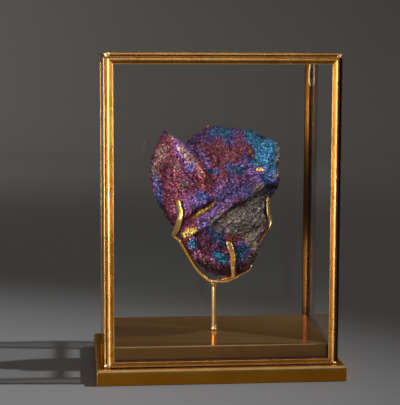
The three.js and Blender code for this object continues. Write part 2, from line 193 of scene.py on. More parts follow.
class Shader:
    """A material's nodes, added one call at a time."""

    def __init__(self, name):
        self.material = bpy.data.materials.new(name)
        self.material.use_nodes = True
        self.tree = self.material.node_tree
        self.surface = self.tree.nodes["Principled BSDF"]
        self.places = self.add("TexCoord").outputs["Object"]

    def feed(self, socket, value):
        """Links value into the socket if it is another node's output, and sets it otherwise."""
        if isinstance(value, bpy.types.NodeSocket):
            self.tree.links.new(value, socket)
        else:
            socket.default_value = value

    def add(self, kind, inputs=None, **settings):
        node = self.tree.nodes.new("ShaderNode" + kind)
        for key, value in settings.items():
            setattr(node, key, value)
        for key, value in (inputs or {}).items():
            self.feed(node.inputs[key], value)
        return node

    def set(self, **inputs):
        """Sets the surface's sockets, named with _ for a space."""
        for key, value in inputs.items():
            self.feed(self.surface.inputs[key.replace("_", " ")], value)

    def attribute(self, name):
        return self.add("Attribute", attribute_name=name).outputs["Fac"]

    def noise(self, scale, detail=3, roughness=0.5):
        inputs = {"Vector": self.places, "Scale": scale, "Detail": detail, "Roughness": roughness}
        return self.add("TexNoise", inputs).outputs["Fac"]

    def grains(self, size):
        """The three random numbers of the cell of the given size (metres) that a place is in."""
        colour = self.add("TexVoronoi", {"Vector": self.places, "Scale": 1 / size}).outputs["Color"]
        return self.add("SeparateColor", {"Color": colour}).outputs

    def math(self, operation, a, b, clamp=False):
        return self.add("Math", {0: a, 1: b}, operation=operation, use_clamp=clamp).outputs[0]

    def plus(self, a, b, clamp=False):
        return self.math("ADD", a, b, clamp)

    def times(self, a, b):
        return self.math("MULTIPLY", a, b)

    def vector(self, operation, a, b=(0.0, 0.0, 0.0)):
        return self.add("VectorMath", {0: a, 1: b}, operation=operation).outputs[0]

    def between(self, value, low, high, start=0.0, end=1.0):
        """value's span low..high stretched to start..end, and held there beyond it."""
        inputs = {"Value": value, "From Min": low, "From Max": high, "To Min": start, "To Max": end}
        return self.add("MapRange", inputs).outputs["Result"]

    def spread(self, random, start, end):
        """A random number from 0 to 1 stretched to start..end."""
        return self.between(random, 0, 1, start, end)

    def blend(self, factor, a, b, kind="MIX"):
        node = self.add("Mix", data_type="RGBA", blend_type=kind)
        self.feed(node.inputs["Factor"], factor)
        self.feed(node.inputs["A"], a)
        self.feed(node.inputs["B"], b)
        return node.outputs["Result"]

    def ramp(self, factor, stops):
        """A colour ramp with stops of (position, colour)."""
        node = self.add("ValToRGB", {"Fac": factor})
        elements = node.color_ramp.elements
        while len(elements) < len(stops):
            elements.new(0.5)
        for element, (position, colour) in zip(elements, stops):
            element.position = position
            element.color = colour
        return node.outputs["Color"]


def rgb(red, green, blue):
    """A colour given in display values from 0 to 255, as the linear colour that a socket takes."""

    def linear(value):
        value /= 255
        return value / 12.92 if value <= 0.04045 else ((value + 0.055) / 1.055) ** 2.4

    return (linear(red), linear(green), linear(blue), 1.0)


# Pale brass for rubbed edges: partly wear, partly painted highlight where highlights fall.
RUBBED_SHEEN_BRASS = (0.95, 0.67, 0.31, 1)
# Dark seam colour: painted shade in seams, inner lips and feet, with some grime.
SEAM_GRIME_AND_SHADE = (0.05, 0.024, 0.008, 1)


def brass_material(name, fresh, aged, roughness, dent, edge_tint, metallic=1.0, grain=None):
    """Old lacquered brass: faint blotches of browner patina, handling marks and shallow dents.

    The mesh attributes darken it in the seams, inner lips and feet, partly grime and partly painted
    shade, and leave it pale where it is rubbed and where highlights fall, partly wear and partly
    painted highlight.
    grain is the direction in which a strip was drawn. It stretches the highlights across it.
    """
    s = Shader(name)
    wear = s.attribute("wear")
    blotches = s.between(s.noise(22, 3, 0.55), 0.3, 0.7)
    specks = s.between(s.noise(700, 2, 0.6), 0.56, 0.75)
    uneven = s.between(s.noise(120, 3, 0.6), 0.3, 0.65, 0.55, 1.0)
    colour = s.blend(blotches, fresh, aged)
    colour = s.blend(s.times(specks, 0.2), colour, aged)
    # Wear and painted highlight: rubbed edges are painted pale where highlights fall.
    colour = s.blend(s.times(wear, uneven), colour, RUBBED_SHEEN_BRASS)
    # Painted shade with some grime: the seams, inner lips and feet are darkened here.
    colour = s.blend(s.attribute("grime"), colour, SEAM_GRIME_AND_SHADE)
    rough = s.between(s.noise(60, 3, 0.6), 0.3, 0.7, roughness * 0.85, roughness * 1.15)
    bump = s.add("Bump", {"Strength": 0.3, "Distance": dent, "Height": s.noise(180, 2)})
    metallic = s.math("SUBTRACT", metallic, s.times(wear, 0.3))
    s.set(Base_Color=colour, Metallic=metallic, Roughness=rough, Normal=bump.outputs["Normal"])
    s.set(Specular_Tint=edge_tint)
    if grain is not None:
        direction = s.add("CombineXYZ", dict(zip("XYZ", grain))).outputs[0]
        s.set(Anisotropic=0.9, Anisotropic_Rotation=0.25, Tangent=direction)
    return s.material


def glass_material():
    s = Shader("clear_glass")
    s.set(Base_Color=(0.965, 0.975, 0.965, 1), Transmission_Weight=1.0, Roughness=0.0, IOR=1.4)
    return s.material


# Colours of the tarnish film as it thickens.
FILM_COLOURS = [
    (0.00, rgb(246, 216, 112)),
    (0.05, rgb(214, 158, 66)),
    (0.12, rgb(180, 104, 48)),
    (0.18, rgb(150, 84, 60)),
    (0.24, rgb(170, 60, 72)),
    (0.30, rgb(140, 48, 66)),
    (0.38, rgb(156, 64, 92)),
    (0.48, rgb(138, 72, 132)),
    (0.58, rgb(122, 84, 158)),
    (0.67, rgb(84, 90, 162)),
    (0.76, rgb(44, 98, 158)),
    (0.84, rgb(14, 112, 156)),
    (0.93, rgb(10, 134, 156)),
    (1.00, rgb(30, 128, 108)),
]
CRYSTAL_COLOURS = [
    (0.0, rgb(132, 44, 48)),
    (0.25, rgb(178, 96, 92)),
    (0.5, rgb(206, 160, 148)),
    (0.75, rgb(226, 214, 206)),
    (1.0, rgb(150, 156, 180)),
]
ROCK_COLOURS = [
    (0.0, rgb(34, 30, 30)),
    (0.4, rgb(92, 78, 72)),
    (0.65, rgb(128, 114, 104)),
    (1.0, rgb(186, 180, 172)),
]
DUST = rgb(122, 92, 84), rgb(168, 138, 128)
OLIVE_ROCK = rgb(108, 92, 76), rgb(156, 132, 112)
OCHRE_ROCK, RED_ROCK = rgb(128, 108, 70), rgb(132, 80, 90)
COARSE_GRAIN, FINE_GRAIN = 0.0013, 0.0007  # metres
GRAIN_TILT = 0.8


def ore_material():
    """Bornite: each grain has its own film colour, brightness and tilt around its patch's film."""
    s = Shader("peacock_tarnish")
    coarse, fine = s.grains(COARSE_GRAIN), s.grains(FINE_GRAIN)
    film = s.plus(s.attribute("film"), s.spread(coarse["Red"], -0.07, 0.07))
    film = s.plus(film, s.spread(fine["Red"], -0.08, 0.08))
    film = s.plus(film, s.between(s.noise(330, 3, 0.6), 0.3, 0.7, -0.05, 0.05), clamp=True)
    colour = s.ramp(film, FILM_COLOURS)
    dust = s.blend(fine["Green"], *DUST)
    colour = s.blend(s.spread(coarse["Green"], 0.0, 0.2), colour, dust)
    olive = s.blend(fine["Green"], *OLIVE_ROCK)
    colour = s.blend(s.attribute("dull"), colour, olive)
    streaks = s.plus(s.attribute("streak"), s.spread(fine["Red"], -0.25, 0.25))
    rock = s.ramp(streaks, ROCK_COLOURS)
    rock = s.blend(s.between(s.noise(150, 2), 0.44, 0.6, 0, 0.5), rock, OCHRE_ROCK)
    rock = s.blend(s.between(fine["Blue"], 0.6, 1, 0, 0.5), rock, RED_ROCK)
    matrix = s.attribute("matrix")
    colour = s.blend(matrix, colour, rock)
    crystal = s.attribute("crystal")
    pale = s.plus(s.times(coarse["Green"], 0.7), 0.15)
    pale = s.plus(pale, s.spread(fine["Red"], -0.2, 0.2), clamp=True)
    strewn = s.times(crystal, s.between(coarse["Red"], 0.15, 0.4))
    colour = s.blend(strewn, colour, s.ramp(pale, CRYSTAL_COLOURS))
    # Each grain's own tone, times the painted light and shade of the light attribute.
    tone_and_painted_light = s.times(s.spread(fine["Green"], 0.03, 0.9), s.attribute("light"))
    tone_and_painted_light = s.times(tone_and_painted_light, s.spread(coarse["Blue"], 0.65, 1.35))
    tone_and_painted_light = s.times(tone_and_painted_light, s.between(s.noise(700, 3, 0.7), 0.34, 0.52, 0.3, 1.25))
    colour = s.blend(1.0, colour, tone_and_painted_light, "MULTIPLY")
    lustre = s.math("SUBTRACT", s.spread(fine["Blue"], 0.35, 0.85), s.times(matrix, 0.7))
    lustre = s.math("SUBTRACT", lustre, crystal, clamp=True)
    rough = s.plus(s.spread(coarse["Green"], 0.28, 0.5), s.times(matrix, 0.22))
    tilt = s.add("CombineXYZ", {"X": fine["Red"], "Y": fine["Blue"], "Z": coarse["Blue"]})
    tilt = s.vector("SUBTRACT", tilt.outputs[0], (0.5, 0.5, 0.5))
    tilt = s.vector("MULTIPLY", tilt, (GRAIN_TILT,) * 3)
    normal = s.vector("ADD", s.add("NewGeometry").outputs["Normal"], tilt)
    normal = s.vector("NORMALIZE", normal)
    s.set(Base_Color=colour, Metallic=lustre, Roughness=rough, Normal=normal)
    return s.material


def floor_material():
    s = Shader("pale_floor")
    colour = s.blend(s.noise(3), rgb(166, 166, 166), rgb(172, 172, 172))
    s.set(Base_Color=colour, Roughness=0.7)
    return s.material


GOLDEN_EDGE = (0.8, 0.5, 0.2, 1)
SHALLOW_DENT = 0.00003  # metres
drawn_brass = [
    brass_material(
        f"drawn_brass_{'xyz'[axis]}", (0.84, 0.36, 0.045, 1), (0.62, 0.22, 0.02, 1),
        roughness=0.28, dent=SHALLOW_DENT, edge_tint=GOLDEN_EDGE, grain=np.eye(3)[axis]
    )
    for axis in range(3)
]
plate_brass = brass_material(
    "plate_brass", (0.67, 0.27, 0.02, 1), (0.52, 0.19, 0.01, 1),
    roughness=0.13, dent=SHALLOW_DENT, edge_tint=(0.95, 0.64, 0.18, 1), metallic=0.84
)
claw_brass = brass_material(
    "claw_brass", (0.93, 0.62, 0.24, 1), (0.78, 0.44, 0.11, 1),
    roughness=0.27, dent=0.00014, edge_tint=GOLDEN_EDGE, metallic=0.86
)
rod_brass = brass_material(
    "rod_brass", (0.93, 0.62, 0.25, 1), (0.85, 0.52, 0.17, 1),
    roughness=0.33, dent=SHALLOW_DENT, edge_tint=GOLDEN_EDGE, metallic=0.86
)
solder = brass_material(
    "brass_solder", (0.84, 0.63, 0.36, 1), (0.6, 0.36, 0.14, 1),
    roughness=0.38, dent=0.0006, edge_tint=(0.9, 0.7, 0.4, 1)
)
clear_glass = glass_material()
tarnish = ore_material()


# ---- The ore's form ----
# A radius for each direction from the middle. Around the front view's outline the radius follows
# ORE_OUTLINE, towards front and back it closes like a cushion, and flat faces, creases, lumps and
# the shelf are cut into that. This round lump is then pressed to the depth of a slab.

ORE_CENTRE = np.array([2.0, 0.0, 140.0])
ORE_REACH = 38.0
DEPTH_SHARE = 0.53  # of the round lump's depth
DEPTH_MIDDLE = -8.0
ROUNDNESS = 2.4
FACE_SOFTNESS = 1.4
EDGE_ON = 0.01  # a flat face doesn't cut directions that lean towards it by less
RIM_BLEND = 0.25
RELIEF_START, RELIEF_FULL = 0.05, 0.4  # how far directions lean forward there
WANDER_SIZE = 7.0

# Angle from +X towards +Z, and the radius there.
ORE_OUTLINE = np.array([
    [-85, 62.9], [-78, 64.4], [-71, 64.6], [-64, 63.4], [-59, 59.6], [-51, 53.4], [-40, 47.4],
    [-30, 44.4], [-16, 42.4], [-2, 41], [6, 45.8], [12, 50.5], [17, 53.2], [23, 54], [30, 59],
    [39, 67], [43, 68.3], [54, 66.9], [63, 66], [75, 62], [82, 62], [90, 62.6], [96, 61.5],
    [103, 58.4], [111, 57], [118, 55], [121.5, 57.4], [124, 64], [126, 75], [128, 73.4],
    [138, 68.6], [149, 64.2], [159, 59.7], [167, 55.2], [176, 51.6], [186, 47.4], [200, 43.4],
    [213, 42.2], [226, 43.4], [235, 44.6], [244, 49.2], [252, 54], [259, 57], [267, 60.4],
])

# Flat faces: turned from the front towards +X, raised, and the distance from the middle.
ORE_FACES = {
    "left face": (-36, 8, 38),
    "teal face": (33, 14, 42),
    "top slope": (0, 50, 52),
    "lower left": (-50, -35, 41),
    "lower front": (8, -30, 39),
    "lower right": (58, -18, 43),
    "back upper": (205, 22, 39),
    "back right": (148, 10, 38),
    "back lower": (172, -34, 39),
    "back left": (236, -8, 44),
    "back top": (160, 52, 53),
}

# Places on the front are (x, z) seen along this sight line, at the depth FRONT_DEPTH.
SIGHT_X, SIGHT_Z = 0.11, -0.117
SIGHT = np.array([SIGHT_X, 1.0, SIGHT_Z])
FRONT_DEPTH = -28.0

# Ridges and grooves: height, width and the line they follow.
ORE_CREASES = {
    "crest": (7.5, 5.5, [(-45, 203), (-35, 194), (-30, 186), (-19, 176), (-14, 167), (-11, 154)]),
    "valley beside the crest": (-9, 4.5, [(-24, 194), (-17, 185), (-9, 174), (-5, 164)]),
    "violet ridge": (5, 4.5, [(19, 177), (28, 168), (33, 157)]),
    "vein": (-8, 2.4, [(-3, 143), (-12, 136), (-22, 130.5), (-28, 125)]),
    "right notch": (-8, 4.5, [(40, 156), (50, 152)]),
    "lower rib": (4.5, 4, [(-20, 118), (-10, 104), (2, 96)]),
    "bottom cleft": (-4.5, 4, [(-17, 99), (-6, 94), (6, 92)]),
    "right rib": (2.5, 3.5, [(36, 150), (37, 128), (30, 104)]),
}

# Round lumps and hollows: centre, height, and reach along x and z.
ORE_LUMPS = {
    "basin": (2, 179, -10, 15, 14),
    "matrix lump": (21, 127, 6.5, 14, 16),
    "left cheek": (-38, 166, 3.5, 11, 14),
    "rim knob": (-17, 189, 4.5, 5, 5),
    "lower hollow": (-5, 110, -4.5, 8, 7),
    "foot lump": (25, 98, 3, 8, 8),
}

SHELF_LINE = [(46, 157), (36, 153), (26, 144), (13, 138.5), (1, 130), (-5, 123), (-20, 117)]
SHELF_LIP = 3.0
SHELF_LIP_WIDTH = 7.0
SHELF_UNDERCUT = 9.0
SHELF_EDGE = 2.0
SHELF_RECOVERY = 13.0

FACET_SIZES = {15.0: 5.5, 8.0: 3.0}
RIM_SHARE = 0.3  # of the facets' height, at the outline
FINE_FACET_SIZES = {4.3: 1.5, 2.4: 0.9, 1.5: 0.45}


def line_distance(line, x, z):
    """Distance to a line of points, and the signed side: positive on the left of its run."""
    best = np.full(len(x), np.inf)
    best_side = np.ones(len(x))
    for (ax, az), (bx, bz) in zip(line, line[1:] or line):
        dx, dz = bx - ax, bz - az
        length = max(dx * dx + dz * dz, 1e-9)
        along = np.clip(((x - ax) * dx + (z - az) * dz) / length, 0, 1)
        distance = np.hypot(x - ax - along * dx, z - az - along * dz)
        side = dx * (z - az) - dz * (x - ax)
        best_side = np.where(distance < best, side, best_side)
        best = np.minimum(distance, best)
    return best, best_side


def front_places(points):
    """The (x, z) at which points are seen from the front."""
    depth = points[:, 1] - FRONT_DEPTH
    return points[:, 0] - SIGHT_X * depth, points[:, 2] - SIGHT_Z * depth


def wandering_places(points, wander, size, seed, octaves=3):
    """Front places shifted by that many millimetres of noise, which breaks up straight lines."""
    x, z = front_places(points)
    x = x + wander * fractal_noise(points, size, seed, octaves)
    z = z + wander * fractal_noise(points, size, seed + 10, octaves)
    return x, z


def front_relief(points, wander):
    """Creases and lumps as Gaussian ridges, and the shelf as a smooth step with a raised lip."""
    x, z = wandering_places(points, wander, WANDER_SIZE, 11)
    height = np.zeros(len(points))
    for rise, width, line in ORE_CREASES.values():
        height += rise * np.exp(-((line_distance(line, x, z)[0] / width) ** 2))
    for lump_x, lump_z, rise, reach_x, reach_z in ORE_LUMPS.values():
        away = ((x - lump_x) / reach_x) ** 2 + ((z - lump_z) / reach_z) ** 2
        height += rise * np.exp(-away)
    distance, side = line_distance(SHELF_LINE, x, z)
    step = smoothstep(-SHELF_EDGE, SHELF_EDGE, np.where(side > 0, distance, -distance))
    height += SHELF_LIP * (1 - step) * np.exp(-((distance / SHELF_LIP_WIDTH) ** 2))
    height -= SHELF_UNDERCUT * step * np.exp(-((distance / SHELF_RECOVERY) ** 2))
    return height


def ore_radius(u, wander=0.0):
    """The lump's radius along unit directions u, and the places there before relief and facets.

    A cushion (a superellipse between the outline and the reach to front and back) is cut by the
    flat faces with a soft minimum, and the relief and the broken facets are added to it.
    """
    flat = np.hypot(u[:, 0], u[:, 2])
    angle = np.degrees(np.arctan2(u[:, 2], u[:, 0]))
    outline = np.interp(angle, ORE_OUTLINE[:, 0], ORE_OUTLINE[:, 1], period=360)
    power = (flat / outline) ** ROUNDNESS + (np.abs(u[:, 1]) / ORE_REACH) ** ROUNDNESS
    cushion = power ** (-1 / ROUNDNESS)
    total = np.exp(-cushion / FACE_SOFTNESS)
    for turn, rise, distance in ORE_FACES.values():
        turn, rise = math.radians(turn), math.radians(rise)
        level = math.cos(rise)
        normal = [math.sin(turn) * level, -math.cos(turn) * level, math.sin(rise)]
        towards = np.maximum(u @ np.array(normal), EDGE_ON)
        total += np.where(towards > EDGE_ON, np.exp(-distance / towards / FACE_SOFTNESS), 0)
    inside = smoothstep(0, RIM_BLEND, np.abs(u[:, 1]))
    smooth = mix(cushion, -FACE_SOFTNESS * np.log(total), inside)
    points = ORE_CENTRE + u * smooth[:, None]
    facing = smoothstep(RELIEF_START, RELIEF_FULL, -u[:, 1])
    radius = smooth + facing * front_relief(points, wander)
    for cell, height in FACET_SIZES.items():
        radius += height * mix(RIM_SHARE, 1, inside) * facet_height(points, cell)
    return radius, points


def pressed(points):
    """Places of the round lump, moved along the sight line to where they are in the pressed one."""
    shift = DEPTH_MIDDLE - (1 - DEPTH_SHARE) * points[..., 1:2]
    return points + shift * SIGHT


def unpressed(points):
    depth = points[..., 1:2]
    return points - (depth - (depth - DEPTH_MIDDLE) / DEPTH_SHARE) * SIGHT


# ---- The ore's patches ----
# Each patch is a line of (x, z) places on the front, its reach, and the film's thickness there.

FILM_PATCHES = {
    "rose cheek": ([(-44, 178), (-41, 160), (-36, 150), (-34, 140)], 12, 0.34),
    "mauve tip": ([(-44, 202)], 4, 0.58),
    "violet flank": ([(-35.5, 190), (-31.5, 180), (-27, 172)], 3.0, 0.55),
    "violet rim by the notch": ([(-23, 190), (-16, 185), (-11, 181), (-10, 175)], 3.8, 0.57),
    "mauve below the cheek": ([(-30, 168), (-26, 158), (-28, 150)], 4.5, 0.44),
    "violet shoulder": ([(-6, 194), (-14, 195)], 4, 0.62),
    "teal rim": ([(-4, 199), (2, 200.5), (10, 200), (10, 193)], 3.8, 0.82),
    "magenta rim": ([(14, 197), (17.5, 191)], 4.2, 0.46),
    "red basin": ([(-4, 187), (1, 180), (10, 180), (17, 187)], 8, 0.32),
    "dark teal corner": ([(25, 200), (33, 197)], 4.5, 0.93),
    "teal face": ([(35, 191), (44, 189), (42, 178), (31, 180)], 9.5, 0.87),
    "blue under the teal face": ([(43.5, 167), (40, 159)], 6, 0.76),
    "lilac ridge": ([(21, 175.5), (26.7, 170.8), (31, 163)], 3.2, 0.57),
    "sea pool": ([(11, 172), (17, 170)], 4, 0.86),
    "red slope": ([(3, 165), (-7, 161), (-13, 157)], 5, 0.30),
    "violet band": ([(2, 156), (13, 160), (24, 160), (33, 157)], 5.5, 0.54),
    "blue band": ([(-2, 150), (9, 149.5), (17, 153), (30, 153)], 4.5, 0.66),
    "red under the band": ([(-10, 153), (-3, 148.7)], 2.8, 0.33),
    "dark blue pool": ([(-15, 149), (-9, 148.8)], 3.4, 0.74),
    "blue lower left": ([(-29, 138), (-21, 144)], 6, 0.62),
    "violet under the vein": ([(-13, 126), (-6.6, 133), (2, 141), (9, 145)], 4.2, 0.57),
    "magenta by the claw": ([(-22.5, 129), (-24, 122)], 3.6, 0.36),
    "sea below the lip": ([(-9, 123), (-1, 116), (4, 110)], 3.4, 0.74),
    "maroon foot": ([(-14, 113), (-14, 103)], 4, 0.38),
    "blue foot": ([(21.5, 101), (18, 97)], 6.5, 0.85),
    "maroon inner foot": ([(10, 112)], 3, 0.30),
    "brown outer foot": ([(27, 91), (33, 100)], 5, 0.48),
    "dark foot": ([(-6, 90), (8, 86), (20, 88)], 5, 0.30),
}
# Sharper spots that cover the patches above.
FILM_SPOTS = {
    "red peak": ([(-42.6, 193.7)], 4.5, 0.27),
    "blue left edge": ([(-53, 165), (-50.5, 154), (-48.7, 143)], 3.4, 0.71),
    "blue among the crystals": ([(-22, 173), (-25, 170)], 2.8, 0.70),
    "coral": ([(-15.3, 174), (-14, 168), (-13, 163)], 2.4, 0.23),
    "red knob": ([(-12.3, 190.4)], 3.4, 0.29),
    "brown spot": ([(26, 186), (27, 181)], 3, 0.14),
    "gold eye": ([(31.5, 170.4), (38, 168.8)], 2.0, 0.0),
    "sea spot": ([(-7, 168), (-1, 168.2)], 2.2, 0.78),
    "gold vein": ([(-20, 130), (-11.8, 135.8), (-4, 142)], 2.2, 0.06),
    "gold corner": ([(-29, 115.5), (-25, 116), (-19.5, 119)], 3.8, 0.0),
    "teal corner": ([(-21, 107.5)], 5.0, 0.92),
    "teal foot": ([(-1, 97), (5, 94.5)], 4.6, 0.92),
    "orange foot": ([(-12, 95)], 2.6, 0.13),
}
MATRIX_PATCHES = {
    "upper matrix": ([(0, 124), (12, 132), (25, 132), (34, 146)], 6.5),
    "right matrix": ([(34, 151), (37, 142), (33, 124), (28, 112)], 6.5),
    "inner matrix": ([(13, 122), (24, 120)], 8),
    "tan foot": ([(25, 114), (30, 106)], 4.5),
    "pale right edge": ([(50.5, 190), (50, 174), (48, 164)], 2.2),
}
CRYSTAL_PATCHES = {
    "crystals by the notch": ([(-31, 186.5), (-27, 183), (-22, 177)], 3.4),
    "strewn down the crest": ([(-18.5, 173.5), (-14.5, 167)], 0.95),
}
DULL_PATCHES = {
    "olive at the peak": ([(-46.5, 187), (-47, 180)], 5),
    "olive on the cheek": ([(-36, 172)], 3.2),
    "olive low on the cheek": ([(-29, 158)], 3.2),
    "dusty left edge": ([(-50, 186), (-52, 176), (-54, 166)], 4.2),
    "dusty tip": ([(-44, 203), (-38, 197)], 3.2),
    "olive at the lip": ([(-1, 126), (6, 130)], 5),
    "tan foot": ([(27, 111)], 5),
    "brown outer foot": ([(27, 91), (33, 100)], 4.5),
}
# Painted light and shade: how much brighter a patch is painted where light falls on it, or darker
# where it is below 0, as painted shade in notches, hollows, under the shelf and underneath.
PAINTED_LIGHT_PATCHES = {
    "peak": ([(-44, 200), (-44, 190)], 9, 0.9),
    "olive at the peak": ([(-46.5, 187), (-47, 180)], 5, 0.65),
    "olive low on the cheek": ([(-29, 158)], 3.4, -0.28),
    "dusty tip": ([(-44, 203), (-38, 197)], 3, 0.35),
    "red under the band": ([(-10, 153), (-3, 148.7)], 2.8, 0.45),
    "sea pool": ([(11, 172), (17, 170)], 4, -0.25),
    "maroon foot": ([(-14, 112), (-14, 104)], 4, -0.3),
    "maroon inner foot": ([(10, 112)], 3.5, 0.6),
    "left cheek": ([(-45, 182), (-43, 165), (-38, 148)], 13, 0.5),
    "left edge": ([(-54, 172), (-50, 150)], 5, 0.5),
    "crest": ([(-35, 190), (-25, 172), (-15, 165)], 4, 0.45),
    "coral": ([(-15, 173), (-14, 165)], 3, 0.8),
    "basin": ([(2, 184), (12, 182)], 10, -0.25),
    "violet shoulder": ([(-6, 194), (-14, 195)], 4, -0.25),
    "lilac ridge": ([(21, 175.5), (26.7, 170.8), (30, 164)], 2.4, 1.0),
    "teal face": ([(36, 190), (42, 187), (38, 178)], 8, 2.0),
    "under the teal face": ([(43.5, 167), (40, 159)], 6, 1.2),
    "gold eye": ([(32, 170), (38, 169)], 2.4, 1.6),
    "gold corner": ([(-28, 116), (-22, 117)], 4, 1.2),
    "olive at the lip": ([(-1, 126), (6, 130)], 5, 1.1),
    "by the vein": ([(-29, 138), (-21, 144), (-14, 148)], 6, 0.5),
    "under the vein": ([(-22.5, 128), (-10, 130), (2, 141)], 4, 0.5),
    "tan foot": ([(27, 111), (30, 104)], 5, 0.75),
    "teal foot": ([(-1, 97), (5, 94.5)], 3.6, 1.6),
    "teal corner": ([(-21, 107.5)], 4.5, 1.3),
    "underside": ([(-14, 91), (-5, 87), (9, 83), (22, 86)], 5, -0.85),
    "lower left": ([(-16, 112), (-14, 104), (-6, 106)], 5, -0.35),
    "right notch": ([(41, 156), (50, 153)], 3.2, -0.95),
    "right flank": ([(42, 148), (41, 130)], 2.4, -0.8),
    "shelf shadow": ([(9, 137), (21, 142.5), (31, 149.5)], 1.9, -0.9),
    "hollow": ([(-8, 108), (3, 116), (4, 104)], 5, -0.55),
    "shadow over the vein": ([(-22, 132.5), (-13, 138.5), (-7, 143.5)], 1.4, -0.9),
    "notch": ([(-22, 193), (-16, 192)], 2.5, -0.8),
}


def line_cover(line, reach, x, z, sharpness=4):
    """How far each place is covered by the patch round a line, from 1 on it to 0 outside."""
    return np.exp(-((line_distance(line, x, z)[0] / reach) ** sharpness))


def patch_cover(patches, x, z, sharpness=4):
    """How far each place is covered by any of the patches, from 0 to 1."""
    return np.max([line_cover(*patch, x, z, sharpness) for patch in patches.values()], axis=0)


BORDER_WANDER, BORDER_SIZE = 2.6, 8.0
FILM_BORDER = 1.4  # how steeply a film patch gives way to its neighbours
DRIFT_MIDDLE, DRIFT_RANGE, DRIFT_SIZE = 0.52, 0.62, 26.0  # the film between and behind patches
DRIFT_WEIGHT = 0.05
DULL_SHARE = 0.75
BACK_MATRIX_SHARE, BACK_MATRIX_SIZE = 0.8, 24.0
FIBRE_LENGTH, FIBRE_DEPTH, FIBRE_SIZE = 5.0, 2.0, 1.5
FIBRE_CONTRAST = 1.05


def ore_paint(points, facing):
    """The patches' cover at points of the ore, with borders ragged by noise.

    facing is 1 on the front and 0 on the back, where the film follows noise alone.
    """
    x, z = wandering_places(points, BORDER_WANDER, BORDER_SIZE, 31, 4)
    drift = DRIFT_MIDDLE + DRIFT_RANGE * fractal_noise(points, DRIFT_SIZE, 51, 4)
    weight = np.full(len(points), DRIFT_WEIGHT)
    film = weight * drift
    for line, reach, thickness in FILM_PATCHES.values():
        share = facing * np.exp(-FILM_BORDER * (line_distance(line, x, z)[0] / reach) ** 2)
        film += share * thickness
        weight += share
    film /= weight
    for line, reach, thickness in FILM_SPOTS.values():
        film = mix(film, thickness, facing * line_cover(line, reach, x, z))
    # Painted light and shade, carried in the light attribute.
    light = np.ones(len(points))
    for line, reach, gain in PAINTED_LIGHT_PATCHES.values():
        light *= 1 + gain * facing * line_cover(line, reach, x, z, 2)
    rocky = smoothstep(0.25, 0.5, fractal_noise(points, BACK_MATRIX_SIZE, 61, 4)) * (1 - facing)
    matrix = np.maximum(facing * patch_cover(MATRIX_PATCHES, x, z), BACK_MATRIX_SHARE * rocky)
    fibres = fractal_noise(fibre_places(points), FIBRE_SIZE, 71)
    return {
        "film": film,
        "matrix": matrix,
        "crystal": facing * patch_cover(CRYSTAL_PATCHES, x, z),
        "dull": DULL_SHARE * facing * patch_cover(DULL_PATCHES, x, z, 2),
        "light": light,
        "streak": 0.5 + FIBRE_CONTRAST * fibres,
    }


def fibre_places(points):
    """Places stretched so that noise read at them runs in fibres, up and to the right."""
    along = points @ unit(np.array([0.75, 0.0, 0.66]))
    across = points @ unit(np.array([-0.66, 0.0, 0.75]))
    return np.stack([along / FIBRE_LENGTH, points[:, 1] / FIBRE_DEPTH, across], 1)


def cube_sphere(count, stretch):
    """Unit directions from a cube's six faces, even in angle, and the quads between them.

    stretch pulls the sphere to the size of the thing, so that its surface gets an even grid.
    """
    side = np.tan(np.linspace(-math.pi / 4, math.pi / 4, count + 1))
    a, b = (grid.ravel() for grid in np.meshgrid(side, side, indexing="ij"))
    one = np.ones_like(a)
    faces = [np.stack(face, 1) for face in (
        (one, a, b), (-one, b, a), (b, one, a), (a, -one, b), (a, b, one), (b, a, -one)
    )]
    points = unit(np.concatenate(faces))
    row = np.arange(count)[:, None] * (count + 1) + np.arange(count)
    quad = np.stack([row, row + count + 1, row + count + 2, row + 1], -1).reshape(-1, 4)
    quads = np.concatenate([quad + k * len(a) for k in range(6)])
    rounded = np.round(points, 6)
    _, first, weld = np.unique(rounded, axis=0, return_index=True, return_inverse=True)
    return unit(points[first] * stretch), weld.reshape(-1)[quads]


ORE_GRID = 128  # squares along each side of the cube
ORE_STRETCH = np.array([54.0, 41.0, 64.0])
RELIEF_WANDER = 1.6
FRONT_START, FRONT_FULL = -0.15, 0.2  # how far directions lean forward where patches begin
MATRIX_FACETS = 0.7  # of the fine facets' height
CRYSTAL_SIZE, CRYSTAL_HEIGHT = 3.2, 2.2
FIBRE_HEIGHT = 2.4
PIT_SIZE, PIT_DEPTH = 5.0, 1.0
PIT_START, PIT_FULL = 0.45, 0.8  # of the noise that places the pits


def peacock_ore():
    """The lump with finer broken facets, a fibrous matrix, crystals and pits."""
    u, quads = cube_sphere(ORE_GRID, ORE_STRETCH)
    radius, points = ore_radius(u, RELIEF_WANDER)
    facing = smoothstep(FRONT_START, FRONT_FULL, -u[:, 1])
    paint = ore_paint(ORE_CENTRE + u * radius[:, None], facing)
    rough = mix(1.0, MATRIX_FACETS, paint["matrix"])
    for cell, height in FINE_FACET_SIZES.items():
        radius += height * rough * facet_height(points, cell)
    radius += CRYSTAL_HEIGHT * paint["crystal"] * facet_height(points, CRYSTAL_SIZE)
    radius += FIBRE_HEIGHT * paint["matrix"] * (paint["streak"] - 0.5)
    pits = smoothstep(PIT_START, PIT_FULL, fractal_noise(points, PIT_SIZE, 81, 2))
    radius -= PIT_DEPTH * pits
    shape = pressed(ORE_CENTRE + u * radius[:, None]), quads.tolist()
    mesh_piece(
        "peacock_ore_lump", shape, tarnish, ["peacock_ore"], crease=60, attributes=paint
    )


# ---- Channels ----

